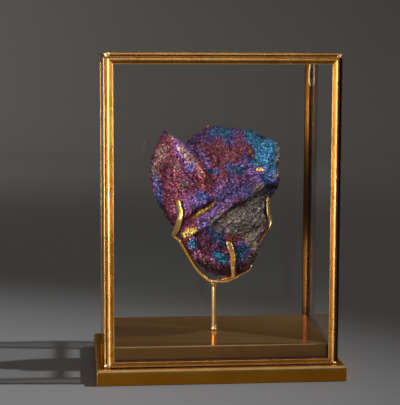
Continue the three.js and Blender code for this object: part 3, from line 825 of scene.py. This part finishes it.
PANE_INSET = 1.6  # from the channel's outer edge to the pane's edge
PANE_HALF = 0.9
PANE_CLEARANCE = 0.1
CHANNEL_FACE = 5.0
CHANNEL_LIP = 0.3  # the bevel on the inner edge
CHANNEL_CROWN = 0.32  # how far the face bulges
CHANNEL_ROUND, ROUND_SHARE = 1.7, 0.85  # the round outer edge: inwards, and of half the thickness
GROOVE_FLOOR = 1.4
MITRE_GAP = 0.05  # cut off each end
STATION_GAP = 7
WAVE_HEIGHT, WAVE_SIZE = 0.03, 17.0
FOOT_SHADE = 1.0  # the part of the lowest strips painted dark up from the foot, as painted contact shade
# Strips painted darker all over, as painted shade on strips that face away from the lamps.
SHADED_STRIPS = {"rear_channel": 0.7, "right_channel_front": 0.84, "right_channel_rear": 0.6}
# Strips whose seam with the next one gets less painted shade.
LESS_SHADED_STRIPS = ("front_channel_top", "top_channel_front")
SEAM_SHADE_SHARE = 0.35

panes = {side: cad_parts[f"{side}_pane"] for side in ("front", "rear", "left", "right", "top")}


def channel_profile(thickness):
    """A U section with round outer edges: rows of inwards, through the pane, grime with painted
    shade, and wear with painted highlight.
    """
    half = thickness / 2
    groove = PANE_HALF + PANE_CLEARANCE
    lip = CHANNEL_LIP
    inner_edge = half - CHANNEL_CROWN
    upper = [
        (CHANNEL_FACE, groove, 1, 0),
        (CHANNEL_FACE, inner_edge - lip, 0.8, 0),
        (CHANNEL_FACE - lip * 0.3, inner_edge - lip * 0.3, 0.1, 0.7),
    ]
    # The crowned face and the inner lip are painted pale, as wear and painted highlight, and the
    # groove, the inner lip's side and the seam under the round edge are painted dark, as grime and
    # painted shade.
    for t in np.linspace(0, 1, 9):
        inwards = mix(CHANNEL_FACE - lip, CHANNEL_ROUND, t)
        through = half - CHANNEL_CROWN * (1 - t) ** 2
        upper.append((inwards, through, 0, max(0.7 - 4 * t, 2 * t - 1.5, 0)))
    for t in np.linspace(10, 90, 9):
        sine, cosine = math.sin(math.radians(t)), math.cos(math.radians(t))
        seam = float(smoothstep(62, 85, t))
        inwards, through = CHANNEL_ROUND * (1 - sine), half * (1 - ROUND_SHARE * (1 - cosine))
        upper.append((inwards, through, seam, 0.5 * (1 - seam)))
    lower = [(inwards, -through, *marks) for inwards, through, *marks in reversed(upper)]
    floor = [(GROOVE_FLOOR, -groove, 1, 0), (GROOVE_FLOOR, groove, 1, 0)]
    return np.array(upper + lower + floor)


def channel_strip(name, corner, along, inward, through, length, thickness):
    """A mitred strip: the profile carried along, its ends cut at 45 degrees, a little uneven."""
    profile = channel_profile(thickness)
    count = max(int(length / STATION_GAP), 4)
    start = profile[:, 0] + MITRE_GAP
    reach = mix(start, length - start, np.linspace(0, 1, count)[:, None])
    rings = (
        corner
        + reach[..., None] * along
        + profile[:, :1] * inward
        + profile[:, 1:2] * through
    )
    inner = rings[1:-1].reshape(-1, 3)
    for axis in (inward, through):
        inner = inner + WAVE_HEIGHT * noise(inner + 300 * axis, WAVE_SIZE, 5)[:, None] * axis
    rings[1:-1] = inner.reshape(rings[1:-1].shape)
    drawn = drawn_brass[int(np.abs(along).argmax())]
    # Painted shade and highlight: these marks darken seams as grime and painted shade, and pale the
    # edges as wear and painted highlight.
    grime, wear = profile[:, 2], profile[:, 3]
    # Painted shade over whole strips that face away from the lamps.
    for strips, least in SHADED_STRIPS.items():
        if name.startswith(strips):
            grime = np.maximum(grime, least)
            wear = wear * (1 - least)
    # Less painted shade in the seam of these strips.
    if name in LESS_SHADED_STRIPS:
        grime = SEAM_SHADE_SHARE * grime
    # Painted contact shade along the foot of the lowest strips.
    if name.endswith("bottom"):
        grime = np.maximum(grime, profile[:, 0] < FOOT_SHADE)
    marks = {"grime": np.tile(grime, count), "wear": np.tile(wear, count)}
    mesh_piece(name + "_brass", tube(rings), drawn, [name], attributes=marks)


def framed_pane(side, edges, across, up):
    """Four strips round the pane of one side. across and up are the axes along its edges."""
    low, high = node_box(f"{side}_pane")
    strip_low, strip_high = node_box(f"{side}_channel_{edges[0]}")
    through = 3 - across - up
    thickness = strip_high[through] - strip_low[through]
    axes = np.eye(3)
    middle = (low + high) / 2
    first, last = low - PANE_INSET, high + PANE_INSET

    def corner(a, b):
        point = middle.copy()
        point[across], point[up] = a, b
        return point

    width, height = last[across] - first[across], last[up] - first[up]
    a_axis, b_axis = axes[across], axes[up]
    strips = [
        (corner(first[across], first[up]), a_axis, b_axis, width),
        (corner(last[across], first[up]), b_axis, -a_axis, height),
        (corner(last[across], last[up]), -a_axis, -b_axis, width),
        (corner(first[across], last[up]), -b_axis, a_axis, height),
    ]
    for edge, (start, along, inward, length) in zip(edges, strips):
        name = f"{side}_channel_{edge}"
        channel_strip(name, start, along, inward, axes[through], length, thickness)
    pane = panes[side]
    pane.data.materials.clear()
    pane.data.materials.append(clear_glass)
    pane.visible_diffuse = False
    pane.visible_glossy = False


def glass_box():
    x_axis, y_axis, z_axis = 0, 1, 2
    for side in ("front", "rear"):
        framed_pane(side, ["bottom", "right", "top", "left"], x_axis, z_axis)
    for side in ("left", "right"):
        framed_pane(side, ["bottom", "rear", "top", "front"], y_axis, z_axis)
    framed_pane("top", ["front", "right", "rear", "left"], x_axis, y_axis)


# ---- Plates ----

PLATE_CORNER = 1.4
# Wear and painted highlight along the arc of an upright corner, and on each ring from the foot up.
CORNER_WEAR_AND_SHEEN = [0, 0.14, 0.56, 0.7, 0.56, 0.14, 0]
RING_WEAR_AND_SHEEN = [0, 0, 0, 0, 0, 0, 0.35, 0.8, 0.8, 0.5, 0]


def plate(name, node, chamfer, round_edge, foot_shade):
    """A block with a chamfer round its top and softened edges, as rings of a rounded rectangle.

    The foot numbers are painted shade on the four lowest rings. It fades over the two above them.
    """
    low, high = node_box(node)
    middle, half = (low + high) / 2, (high - low) / 2
    arc = np.radians(np.linspace(0, 90, len(CORNER_WEAR_AND_SHEEN)))
    turn = np.concatenate([arc + math.pi / 2 * k for k in range(4)])
    corners = np.repeat([(1, 1), (-1, 1), (-1, -1), (1, -1)], len(arc), axis=0)

    def ring(inset, z):
        centres = middle[:2] + (half[:2] - inset - PLATE_CORNER) * corners
        flat = centres + PLATE_CORNER * np.stack([np.cos(turn), np.sin(turn)], 1)
        return np.column_stack([flat, np.full(len(turn), z)])

    r = round_edge
    bottom, top = low[2], high[2]
    edge = top - chamfer
    levels = [
        (r, bottom), (0.3 * r, bottom + 0.3 * r), (0, bottom + r), (0, bottom + 3 * r),
        (0, mix(bottom, edge, 0.5)), (0, edge - 4 * r), (0, edge - r), (0.3 * r, edge + 0.3 * r),
        (chamfer - 0.3 * r, top - 0.3 * r), (chamfer + r, top), (chamfer + 6 * r, top),
    ]
    shape = tube([ring(inset, z) for inset, z in levels])
    # Painted contact shade on the lowest rings, fading upwards.
    grime = np.zeros(len(levels))
    grime[:6] = [*foot_shade, 0.5 * foot_shade[3], 0.3 * foot_shade[3]]
    # Wear and painted highlight on the rounded corners and the top edge.
    wear = np.maximum(np.tile(CORNER_WEAR_AND_SHEEN, 4), np.array(RING_WEAR_AND_SHEEN)[:, None]).ravel()
    marks = {"grime": np.repeat(grime, len(turn)), "wear": wear}
    mesh_piece(name, shape, plate_brass, [node], crease=30, attributes=marks)


# ---- The claw stand ----

BAR_WIDTH, BAR_THICKNESS = 3.4, 2.9
TIP_WIDTH, TIP_THICKNESS = 4.8, 1.6
NOSE_LENGTH, NOSE_LEAST = 2.2, 0.12
TIP_SQUARENESS = 0.62  # the superellipse's power: 1 is an ellipse, and less is squarer
TIP_EDGE = 0.55  # of the thickness, at the very end
HAMMER_DENTS, HAMMER_SIZE = 0.05, 4.0
BAR_DENTS, BAR_DENT_SIZE = 0.03, 2.5
ROOT_HEIGHT = 71.85
CROSS_DROP = 0.2
CROSS_HEIGHT = 74.95
CLAW_CLEARANCE = 0.4  # from the round lump
LIFT_SPREAD = 6.0


def on_ore(around, forward, stand_off):
    """A point stand_off outside the ore: around in the front view, forward out of its plane."""
    around, forward = math.radians(around), math.radians(forward)
    level = math.cos(forward)
    u = np.array([[math.cos(around) * level, -math.sin(forward), math.sin(around) * level]])
    return pressed(ORE_CENTRE + u[0] * (ore_radius(u)[0][0] + stand_off))


def seen_at(x, z, y):
    """The point at depth y that is seen where (x, 0, z) is."""
    return np.array([x, 0, z]) + y * SIGHT


def smooth_path(points, steps):
    """A centripetal Catmull-Rom curve through points, resampled at even distances.

    Four points at a time are blended in pairs over their spans of knots until one is left.
    """
    points = np.array(points, float)
    padded = np.vstack([2 * points[0] - points[1], points, 2 * points[-1] - points[-2]])
    path = []
    for level in zip(padded, padded[1:], padded[2:], padded[3:]):
        gaps = np.linalg.norm(np.diff(level, axis=0), axis=1) ** 0.5
        knots = np.concatenate([[0], np.cumsum(gaps)])
        t = np.linspace(knots[1], knots[2], 40, endpoint=False)[:, None]
        for spans in [[(0, 1), (1, 2), (2, 3)], [(0, 2), (1, 3)], [(1, 2)]]:
            level = [
                mix(a, b, (t - knots[start]) / (knots[end] - knots[start]))
                for a, b, (start, end) in zip(level, level[1:], spans)
            ]
        path.append(level[0])
    path = np.vstack(path + [points[-1:]])
    travelled = np.concatenate([[0], np.cumsum(np.linalg.norm(np.diff(path, axis=0), axis=1))])
    even = np.linspace(0, travelled[-1], steps + 1)
    return np.stack([np.interp(even, travelled, path[:, axis]) for axis in range(3)], 1)


def claw_bar(name, points, flat_from, flat_to, girth=1.0):
    """A bar along a smooth path, hammered from a round root to a flat, rounded tip.

    The section is a superellipse whose flat side faces the ore's middle. The bar is lifted where
    it would come nearer to the ore than the clearance.
    """
    steps, sides = 90, 20
    path = smooth_path(points, steps)
    tangent = unit(np.gradient(path, axis=0))
    outward = (unpressed(path) - ORE_CENTRE) / (1, DEPTH_SHARE, 1)
    outward -= (outward * tangent).sum(1, keepdims=True) * tangent
    outward = unit(outward)
    across = np.cross(tangent, outward)
    s = np.linspace(0, 1, steps + 1)
    flattened = smoothstep(flat_from, flat_to, s)
    length = np.linalg.norm(np.diff(path, axis=0), axis=1).sum()
    from_tip = (1 - s) * length
    nose = np.sqrt(1 - (1 - np.clip(from_tip / NOSE_LENGTH, 0, 1)) ** 2)
    nose = np.maximum(nose, NOSE_LEAST)
    hammered = 1 + HAMMER_DENTS * noise(path, HAMMER_SIZE, 7) * flattened
    hammered += BAR_DENTS * noise(path, BAR_DENT_SIZE, 8)
    half_width = mix(girth * BAR_WIDTH, TIP_WIDTH, flattened) / 2 * nose * hammered
    half_thickness = mix(girth * BAR_THICKNESS, TIP_THICKNESS, flattened) / 2
    half_thickness *= mix(TIP_EDGE, 1, nose)
    squareness = mix(1.0, TIP_SQUARENESS, flattened)[:, None]
    angle = turns(sides, 0.5)
    cosine, sine = np.cos(angle), np.sin(angle)
    side_x = np.sign(cosine) * np.abs(cosine) ** squareness * half_width[:, None]
    side_y = np.sign(sine) * np.abs(sine) ** squareness * half_thickness[:, None]
    rings = path[:, None] + side_x[..., None] * across[:, None]
    rings += side_y[..., None] * outward[:, None]
    away = unpressed(rings.reshape(-1, 3)) - ORE_CENTRE
    distance = np.linalg.norm(away, axis=1)
    clear = distance - ore_radius(away / distance[:, None])[0]
    lift = np.maximum(0, CLAW_CLEARANCE - clear.reshape(steps + 1, sides).min(1))
    spread = np.exp(-(((s[:, None] - s[None]) * length / LIFT_SPREAD) ** 2))
    lift = (spread * lift[None]).max(1)
    rings = rings + lift[:, None, None] * outward[:, None]
    mesh_piece(name + "_claw", tube(rings), claw_brass, [name], crease=50)


def claw_arms():
    left = [
        (-0.15, 0, ROOT_HEIGHT), (-2.5, 0, ROOT_HEIGHT + 0.1), (-8.7, 0, 76),
        seen_at(-16.2, 84.6, -2.5), seen_at(-22.7, 95.3, -6),
        on_ore(-133, 3, 2.4), on_ore(-143, 5, 3.2), on_ore(-148, 19, 2.6),
        on_ore(-157, 32, 2.2), on_ore(-167, 37, 2), on_ore(173, 31, 1.8),
    ]
    right = [
        (0.15, 0, ROOT_HEIGHT), (3, 0, ROOT_HEIGHT), (10, 0, ROOT_HEIGHT - CROSS_DROP),
        (16.5, 0, 74.2), (22.6, 0, 77.8), seen_at(29.2, 81.8, 0),
        on_ore(-57, -12, 2.6), on_ore(-48, -15, 3), on_ore(-40, -11, 3.5), on_ore(-33, 0, 3.6),
        on_ore(-24, 14, 3), on_ore(-13, 19, 2.6), on_ore(-3, 20, 2.3), on_ore(7, 20, 1.9),
    ]
    front = [
        (9.2, -0.15, CROSS_HEIGHT), (9.8, -3, CROSS_HEIGHT), on_ore(-78.5, 12, 2.4),
        on_ore(-76.5, 22, 2.4), on_ore(-76, 32, 2.2), on_ore(-78, 41, 1.8),
    ]
    back = [
        (9.2, 0.15, CROSS_HEIGHT), (8.6, 3, CROSS_HEIGHT), on_ore(-88, -14, 2.4),
        on_ore(-92, -26, 2.4), on_ore(-98, -38, 2.2), on_ore(-108, -50, 1.8),
    ]
    claw_bar("left_arm", left, flat_from=0.55, flat_to=0.75, girth=1.1)
    claw_bar("right_arm", right, flat_from=0.55, flat_to=0.75)
    claw_bar("front_arm", front, flat_from=0.25, flat_to=0.7)
    claw_bar("back_arm", back, flat_from=0.25, flat_to=0.7)


LUMP_SIZE = 2.6


def lathed(profile, lumps, seed):
    """A profile of (radius, height) turned round the Z axis, its wall moved by noise."""
    profile = np.array(profile, float)
    angle = turns(40)
    around = np.stack([np.cos(angle), np.sin(angle), np.zeros(len(angle))], 1)
    rings = profile[:, None, :1] * around + profile[:, None, 1:] * np.array([0, 0, 1.0])
    shift = 1 + lumps * fractal_noise(rings.reshape(-1, 3) + 50, LUMP_SIZE, seed)
    rings[..., :2] *= shift.reshape(rings.shape[:2])[..., None]
    return tube(rings)


ROD_RADIUS, NECK_RADIUS = 2.4, 3.3
TURNED_LINE = 66.6  # the height of the groove under the neck
POLE = 0.05  # radius of the first and last ring
# The ring of solder at the foot: height above its lowest point, and radius.
FOOT_SWELL = [(0, 2.9), (1.2, 3.25), (2.8, 2.65), (3.6, 2.95), (4.2, 2.5)]
FOOT_INNER = 2.3


def stand_post():
    """A rod with a turned line and a flared neck, and the swelling ring of solder at its foot."""
    low, high = node_box("post")
    foot, top = low[2], high[2]
    line = TURNED_LINE
    rod = [(POLE, foot)] + [(ROD_RADIUS, z) for z in np.linspace(foot, line - 1, 14)]
    rod += [(2.32, line - 0.6), (2.12, line - 0.15), (2.12, line + 0.15), (ROD_RADIUS, line + 0.6)]
    for t in np.linspace(0, 1, 8):
        rod.append((mix(ROD_RADIUS, NECK_RADIUS, t**1.6), mix(line + 0.8, top - 0.5, t)))
    rod += [(3.1, top - 0.1), (2.6, top), (POLE, top)]
    mesh_piece("post_rod", lathed(rod, lumps=0.006, seed=1), rod_brass, ["post"], crease=50)
    low, high = node_box("post_collar")
    heights = np.linspace(0, high[2] - low[2], 16)
    swell = np.interp(heights, *zip(*FOOT_SWELL))
    ring = [(FOOT_INNER, low[2]), *zip(swell, low[2] + heights), (FOOT_INNER, high[2])]
    shape = lathed(ring, lumps=0.1, seed=3)
    mesh_piece("post_solder_foot", shape, solder, ["post_collar"], crease=60)


BLOB_DENTS, BLOB_DENT_SIZE = 0.13, 0.9


def solder_blob(centre, radii, seed):
    """A lump of solder: an ellipsoid of rings from pole to pole, pushed in and out by noise."""
    from_pole = 0.02
    p, a = np.meshgrid(np.linspace(from_pole, math.pi - from_pole, 19), turns(28), indexing="ij")
    sphere = np.stack([np.sin(p) * np.cos(a), np.sin(p) * np.sin(a), np.cos(p)], -1)
    flat = sphere.reshape(-1, 3)
    swell = 1 + BLOB_DENTS * fractal_noise(flat + 10 * seed, BLOB_DENT_SIZE, seed)
    return tube((flat * swell[:, None] * radii + centre).reshape(sphere.shape))


# Solder between the claws: centre and radii.
CLAW_SOLDER = [((0, 0, 71.6), (4.4, 2.2, 1.9)), ((9.6, 0, 73.2), (3.6, 2.3, 1.5))]
# Solder on the case's front corners: centre as shares of its half width and height, and radii.
CORNER_SOLDER = [
    ((-0.965, 0.985), (2.6, 1.5, 2.4)),
    ((-0.975, -0.985), (3.0, 1.6, 2.3)),
    ((0.97, 0.98), (2.2, 1.3, 1.7)),
    ((0.975, -0.99), (2.0, 1.3, 1.5)),
]
CORNER_SINK = 0.9  # the corner solder's middle, behind the channels' front face
# A run of solder down the right rear upright, seen from inside: (x, z) at its face.
SOLDER_RUN = [(91.4, 258), (90.8, 251), (90.5, 244), (90.6, 239), (91.3, 236), (92.6, 234.6)]
RUN_WIDTH, RUN_UNEVENNESS, RUN_HEIGHT = 0.75, 0.25, 0.6


def solder_joints():
    blobs = [solder_blob(*blob, seed) for seed, blob in enumerate(CLAW_SOLDER, 1)]
    mesh_piece("arm_solder", joined(blobs), solder)
    low, _ = node_box("left_channel_front")
    bottom, top = low[2], node_box("top_channel_front")[1][2]
    middle = (bottom + top) / 2
    front = node_box("front_channel_left")[0][1]
    blobs = []
    for seed, ((across, up), radii) in enumerate(CORNER_SOLDER, 3):
        centre = (-low[0] * across, front + CORNER_SINK, middle + (top - middle) * up)
        blobs.append(solder_blob(centre, radii, seed))
    mesh_piece("case_solder", joined(blobs), solder)


def solder_run():
    """An oval bead along a smooth path, its width uneven and tapered over three steps."""
    steps, sides = 40, 12
    face = node_box("rear_channel_right")[0][1]
    path = smooth_path([(x, face - 0.1, z) for x, z in SOLDER_RUN], steps)
    angle = turns(sides)
    across = np.cross(unit(np.gradient(path, axis=0)), [0, 1, 0])
    from_end = np.minimum(np.arange(steps + 1), np.arange(steps + 1)[::-1])
    width = RUN_WIDTH + RUN_UNEVENNESS * noise(path, 3.0, 9)
    width *= np.sqrt(np.clip(from_end / 3, 0.03, 1))
    rings = path[:, None] + np.cos(angle)[:, None] * (width[:, None] * across)[:, None]
    rings[..., 1] -= RUN_HEIGHT * np.sin(angle) * width[:, None]
    mesh_piece("rear_solder", tube(rings), solder)


# ---- Floor, light and camera ----

CAMERA_PLACE = np.array([-0.11752, -1.08750, 0.27049])
CAMERA_TURN = 0.0964  # from +Y towards +X
CAMERA_DROP = 0.1199  # below level
CAMERA_ROLL = -0.0035
SENSOR_WIDTH = 36.0
LENS = 117.31


def stand_at(item, place, side, up, back):
    """Moves an object to place, with its own axes along side, up and back."""
    turn = np.eye(4)
    turn[:3] = np.stack([side, up, back, place], 1)
    item.matrix_world = Matrix(turn.tolist())


def place_camera():
    data = bpy.data.cameras.new("view")
    data.sensor_fit = "HORIZONTAL"
    data.sensor_width = SENSOR_WIDTH
    data.lens = LENS
    data.clip_start = 0.01
    data.clip_end = 100
    level = math.cos(CAMERA_DROP)
    ahead = np.array([
        math.sin(CAMERA_TURN) * level, math.cos(CAMERA_TURN) * level, -math.sin(CAMERA_DROP)
    ])
    right = np.array([math.cos(CAMERA_TURN), -math.sin(CAMERA_TURN), 0])
    down = np.cross(ahead, right)
    rolled_right = math.cos(CAMERA_ROLL) * right + math.sin(CAMERA_ROLL) * down
    rolled_down = math.cos(CAMERA_ROLL) * down - math.sin(CAMERA_ROLL) * right
    camera = new_object("view", data)
    stand_at(camera, CAMERA_PLACE, rolled_right, -rolled_down, -ahead)
    bpy.context.scene.camera = camera


WHITE = (1, 1, 1)


def lamp(name, kind, place, target, power, colour=WHITE, **settings):
    """A lamp at place, facing target. It is seen neither directly nor through glass."""
    data = bpy.data.lights.new(name, kind)
    data.energy = power
    data.color = colour
    for key, value in settings.items():
        setattr(data, key, value)
    item = new_object(name, data)
    place = np.array(place, float)
    back = unit(place - target)
    side = unit(np.cross([0, 0, 1], back))
    stand_at(item, place, side, np.cross(back, side), back)
    item.visible_camera = False
    item.visible_transmission = False
    return item


def area_lamp(name, place, target, size, power, colour=WHITE):
    width, height = size
    return lamp(
        name, "AREA", place, target, power, colour, shape="RECTANGLE", size=width, size_y=height
    )


def spot_lamp(name, place, target, angle, radius, power, colour):
    angle = math.radians(angle)
    return lamp(
        name, "SPOT", place, target, power, colour,
        spot_size=angle, spot_blend=1.0, shadow_soft_size=radius
    )


def link_state(owner, kind, objects, state="EXCLUDE"):
    """Leaves objects out of what a lamp lights (receiver) or is stopped by (blocker).

    With the state INCLUDE only these objects are lit or stop it.
    """
    linked = bpy.data.collections.new(f"{owner.name} {kind}")
    for number, item in enumerate(objects):
        linked.objects.link(item)
        linked.collection_objects[number].light_linking.link_state = state
    setattr(owner.light_linking, kind + "_collection", linked)


FLOOR_SIZE = 30.0
# The floor runs up into a low backdrop: where it stands behind the object, its bend and height.
BACKDROP_PLACE, BACKDROP_BEND, BACKDROP_HEIGHT = 2.6, 0.5, 0.8
HORIZON_COLOUR = (0.066, 0.0605, 0.0545, 1)
OVERHEAD_COLOUR = (0.156, 0.152, 0.147, 1)
HORIZON_END = 0.55  # where the ramp from the horizon to overhead starts

FROM_RIGHT = (2.4, -0.27, 2.95)
SUN_POWER, SUN_ANGLE = 0.285, 3
POOL_TARGET = (-0.5, -0.2, 0)
POOL_ANGLE, POOL_RADIUS, POOL_POWER = 20, 0.045, 340
BACKDROP_LAMP_PLACE, BACKDROP_LAMP_TARGET = (-2, 0.8, 1), (-0.4, 2.4, 0.2)
BACKDROP_LAMP_ANGLE, BACKDROP_LAMP_RADIUS, BACKDROP_LAMP_POWER = 75, 0.3, 46
# The glass stops a part of the low light, and more where the light grazes the front and rear panes.
THROUGH_ALL, STOPPED_BY_GRAZED = 0.3, 0.35

POOL_COLOUR = (0.97, 1.0, 1.05)
WARM = (1.0, 0.93, 0.85)
GLOW = (1.0, 0.6, 0.24)
SHEET = (1.0, 0.86, 0.62)
BLUSH = (1.0, 0.84, 0.74)

# Pieces are chosen by the endings of their names.
REAR_EDGE = ("rear_channel_right_brass", "right_channel_rear_brass")
LEFT_EDGE = ("front_channel_left_brass", "left_channel_front_brass")
RIGHT_FACE = ("front_channel_right_brass",)
UNLIT = ("floor", "_pane", "_plate", "right_channel_front_brass", *REAR_EDGE)

# Place, size, power and the pieces that it doesn't light.
SOFTBOX_TARGET = (0, 0, 0.15)
SOFTBOXES = {
    "left softbox": ((-0.56, -0.54, 0.29), (0.13, 0.54), 6.2, UNLIT),
    "right softbox": ((0.42, -0.75, 0.29), (0.10, 0.54), 1.7, (*UNLIT, "post_rod")),
    "high softbox": ((0.08, -0.95, 1.25), (0.4, 0.2), 1.0, (*UNLIT, "post_rod")),
}
# Place, target, size, power, colour and the only pieces that it lights.
REFLECTORS = {
    "overhead sheet": (
        (0.12, -0.32, 1.1), (0.12, -0.02, 0.0), (0.7, 0.35), 0.18, SHEET,
        ("_brass", "_plate", "case_solder"),
    ),
    "left foot strip": (
        (-0.17, -0.14, 0.065), (-0.0985, -0.068, 0.065), (0.02, 0.17), 0.09, WHITE, LEFT_EDGE
    ),
    "left corner strip": (
        (-0.16, -0.13, 0.02), (-0.1, -0.07, 0.01), (0.02, 0.06), 0.015, WHITE, ("plinth_plate",)
    ),
    "right strip": ((0.42, -0.75, 0.22), (0, 0, 0.12), (0.14, 0.60), 1.7, BLUSH, RIGHT_FACE),
    "rear upper strip": (
        (0.2, -0.5, 0.197), (0.094, 0.06, 0.22), (0.06, 0.08), 0.28, BLUSH, REAR_EDGE
    ),
    "rear foot strip": (
        (0.128, -0.1, 0.037), (0.094, 0.06, 0.07), (0.02, 0.07), 0.036, BLUSH, REAR_EDGE
    ),
    "right foot strip": (
        (0.142, -0.158, 0.07), (0.0985, -0.068, 0.07), (0.015, 0.16), 0.03, WHITE, RIGHT_FACE
    ),
    "seam strip": (
        (0, -0.0587, 0.0165), (0, -0.0605, 0.0165), (0.18, 0.002), 0.0006, WHITE,
        ("front_channel_bottom_brass",),
    ),
    "glow of the platform": (
        (0.0, -0.03, 0.045), (0.01, 0.0, 0.2), (0.12, 0.08), 0.009, GLOW, ("_claw", "arm_solder")
    ),
    "low right strip": (
        (0.2, 0.03, 0.03), (0.045, 0.0, 0.11), (0.06, 0.1), 0.13, WHITE, ("right_arm_claw",)
    ),
}


def sweep():
    """The floor: a flat sheet that bends up in a quarter circle into the backdrop."""
    turn = np.radians(np.linspace(0, 90, 25))
    start = BACKDROP_PLACE - BACKDROP_BEND
    y = np.array([-FLOOR_SIZE, *(start + BACKDROP_BEND * np.sin(turn)), BACKDROP_PLACE])
    z = np.array([0, *(BACKDROP_BEND * (1 - np.cos(turn))), BACKDROP_HEIGHT])
    edges = [np.stack([np.full(len(y), side * FLOOR_SIZE), y, z], 1) for side in (-1, 1)]
    row = np.arange(len(y) - 1)
    faces = np.stack([row, row + len(y), row + len(y) + 1, row + 1], 1)
    mesh = bpy.data.meshes.new("floor")
    mesh.from_pydata(np.concatenate(edges).tolist(), [], faces.tolist())
    mesh.polygons.foreach_set("use_smooth", np.ones(len(mesh.polygons), bool))
    mesh.materials.append(floor_material())
    floor = new_object("floor", mesh)
    return floor


def sky():
    """A dim room: as dark at the horizon as the far floor, and brighter overhead."""
    world = bpy.data.worlds.new("room")
    bpy.context.scene.world = world
    world.use_nodes = True
    tree = world.node_tree
    direction = tree.nodes.new("ShaderNodeTexCoord").outputs["Generated"]
    axes = tree.nodes.new("ShaderNodeSeparateXYZ")
    ramp = tree.nodes.new("ShaderNodeValToRGB")
    horizon, overhead = ramp.color_ramp.elements
    horizon.position, horizon.color = HORIZON_END, HORIZON_COLOUR
    overhead.position, overhead.color = 1.0, OVERHEAD_COLOUR
    tree.links.new(direction, axes.inputs[0])
    tree.links.new(axes.outputs["Z"], ramp.inputs["Fac"])
    tree.links.new(ramp.outputs["Color"], tree.nodes["Background"].inputs["Color"])


def studio():
    """The floor and lamps. The panes show to no bounced ray, so no lamp counts twice."""
    floor = sweep()
    every_pane = list(panes.values())
    pieces = [item for item in bpy.context.scene.objects if item.type == "MESH"]

    def named(endings):
        return [piece for piece in pieces if piece.name.endswith(endings)]

    shares = [
        (THROUGH_ALL, every_pane),
        (STOPPED_BY_GRAZED, [panes[side] for side in ("left", "right", "top")]),
        (1 - THROUGH_ALL - STOPPED_BY_GRAZED, []),
    ]
    for number, (share, passed) in enumerate(shares):
        pool = spot_lamp(
            f"pool of light {number}", FROM_RIGHT, POOL_TARGET, POOL_ANGLE, POOL_RADIUS,
            share * POOL_POWER, POOL_COLOUR
        )
        if passed:
            link_state(pool, "blocker", passed)
    angle = math.radians(SUN_ANGLE)
    sun = lamp("low light from the right", "SUN", FROM_RIGHT, (0, 0, 0), SUN_POWER, angle=angle)
    link_state(sun, "blocker", every_pane)
    link_state(sun, "receiver", [floor])
    wash = spot_lamp(
        "backdrop light", BACKDROP_LAMP_PLACE, BACKDROP_LAMP_TARGET, BACKDROP_LAMP_ANGLE,
        BACKDROP_LAMP_RADIUS, BACKDROP_LAMP_POWER, WARM
    )
    link_state(wash, "receiver", [floor], "INCLUDE")
    for name, (place, size, power, unlit) in SOFTBOXES.items():
        softbox = area_lamp(name, place, SOFTBOX_TARGET, size, power)
        link_state(softbox, "receiver", named(unlit))
        link_state(softbox, "blocker", every_pane)
    for name, (*settings, lit) in REFLECTORS.items():
        reflector = area_lamp(name, *settings)
        link_state(reflector, "receiver", named(lit), "INCLUDE")
        link_state(reflector, "blocker", [*every_pane, floor])
    sky()
    view = bpy.context.scene.view_settings
    view.view_transform = "Standard"
    view.look = "None"


place_camera()
plate("plinth_plate", "plinth", chamfer=1.6, round_edge=0.35, foot_shade=(1, 0.6, 0.2, 0))
plate("platform_plate", "platform", chamfer=0.8, round_edge=0.25, foot_shade=(0.3, 0.35, 0.5, 0.7))
glass_box()
stand_post()
claw_arms()
solder_joints()
solder_run()
peacock_ore()
studio()

bpy.context.view_layer.update()
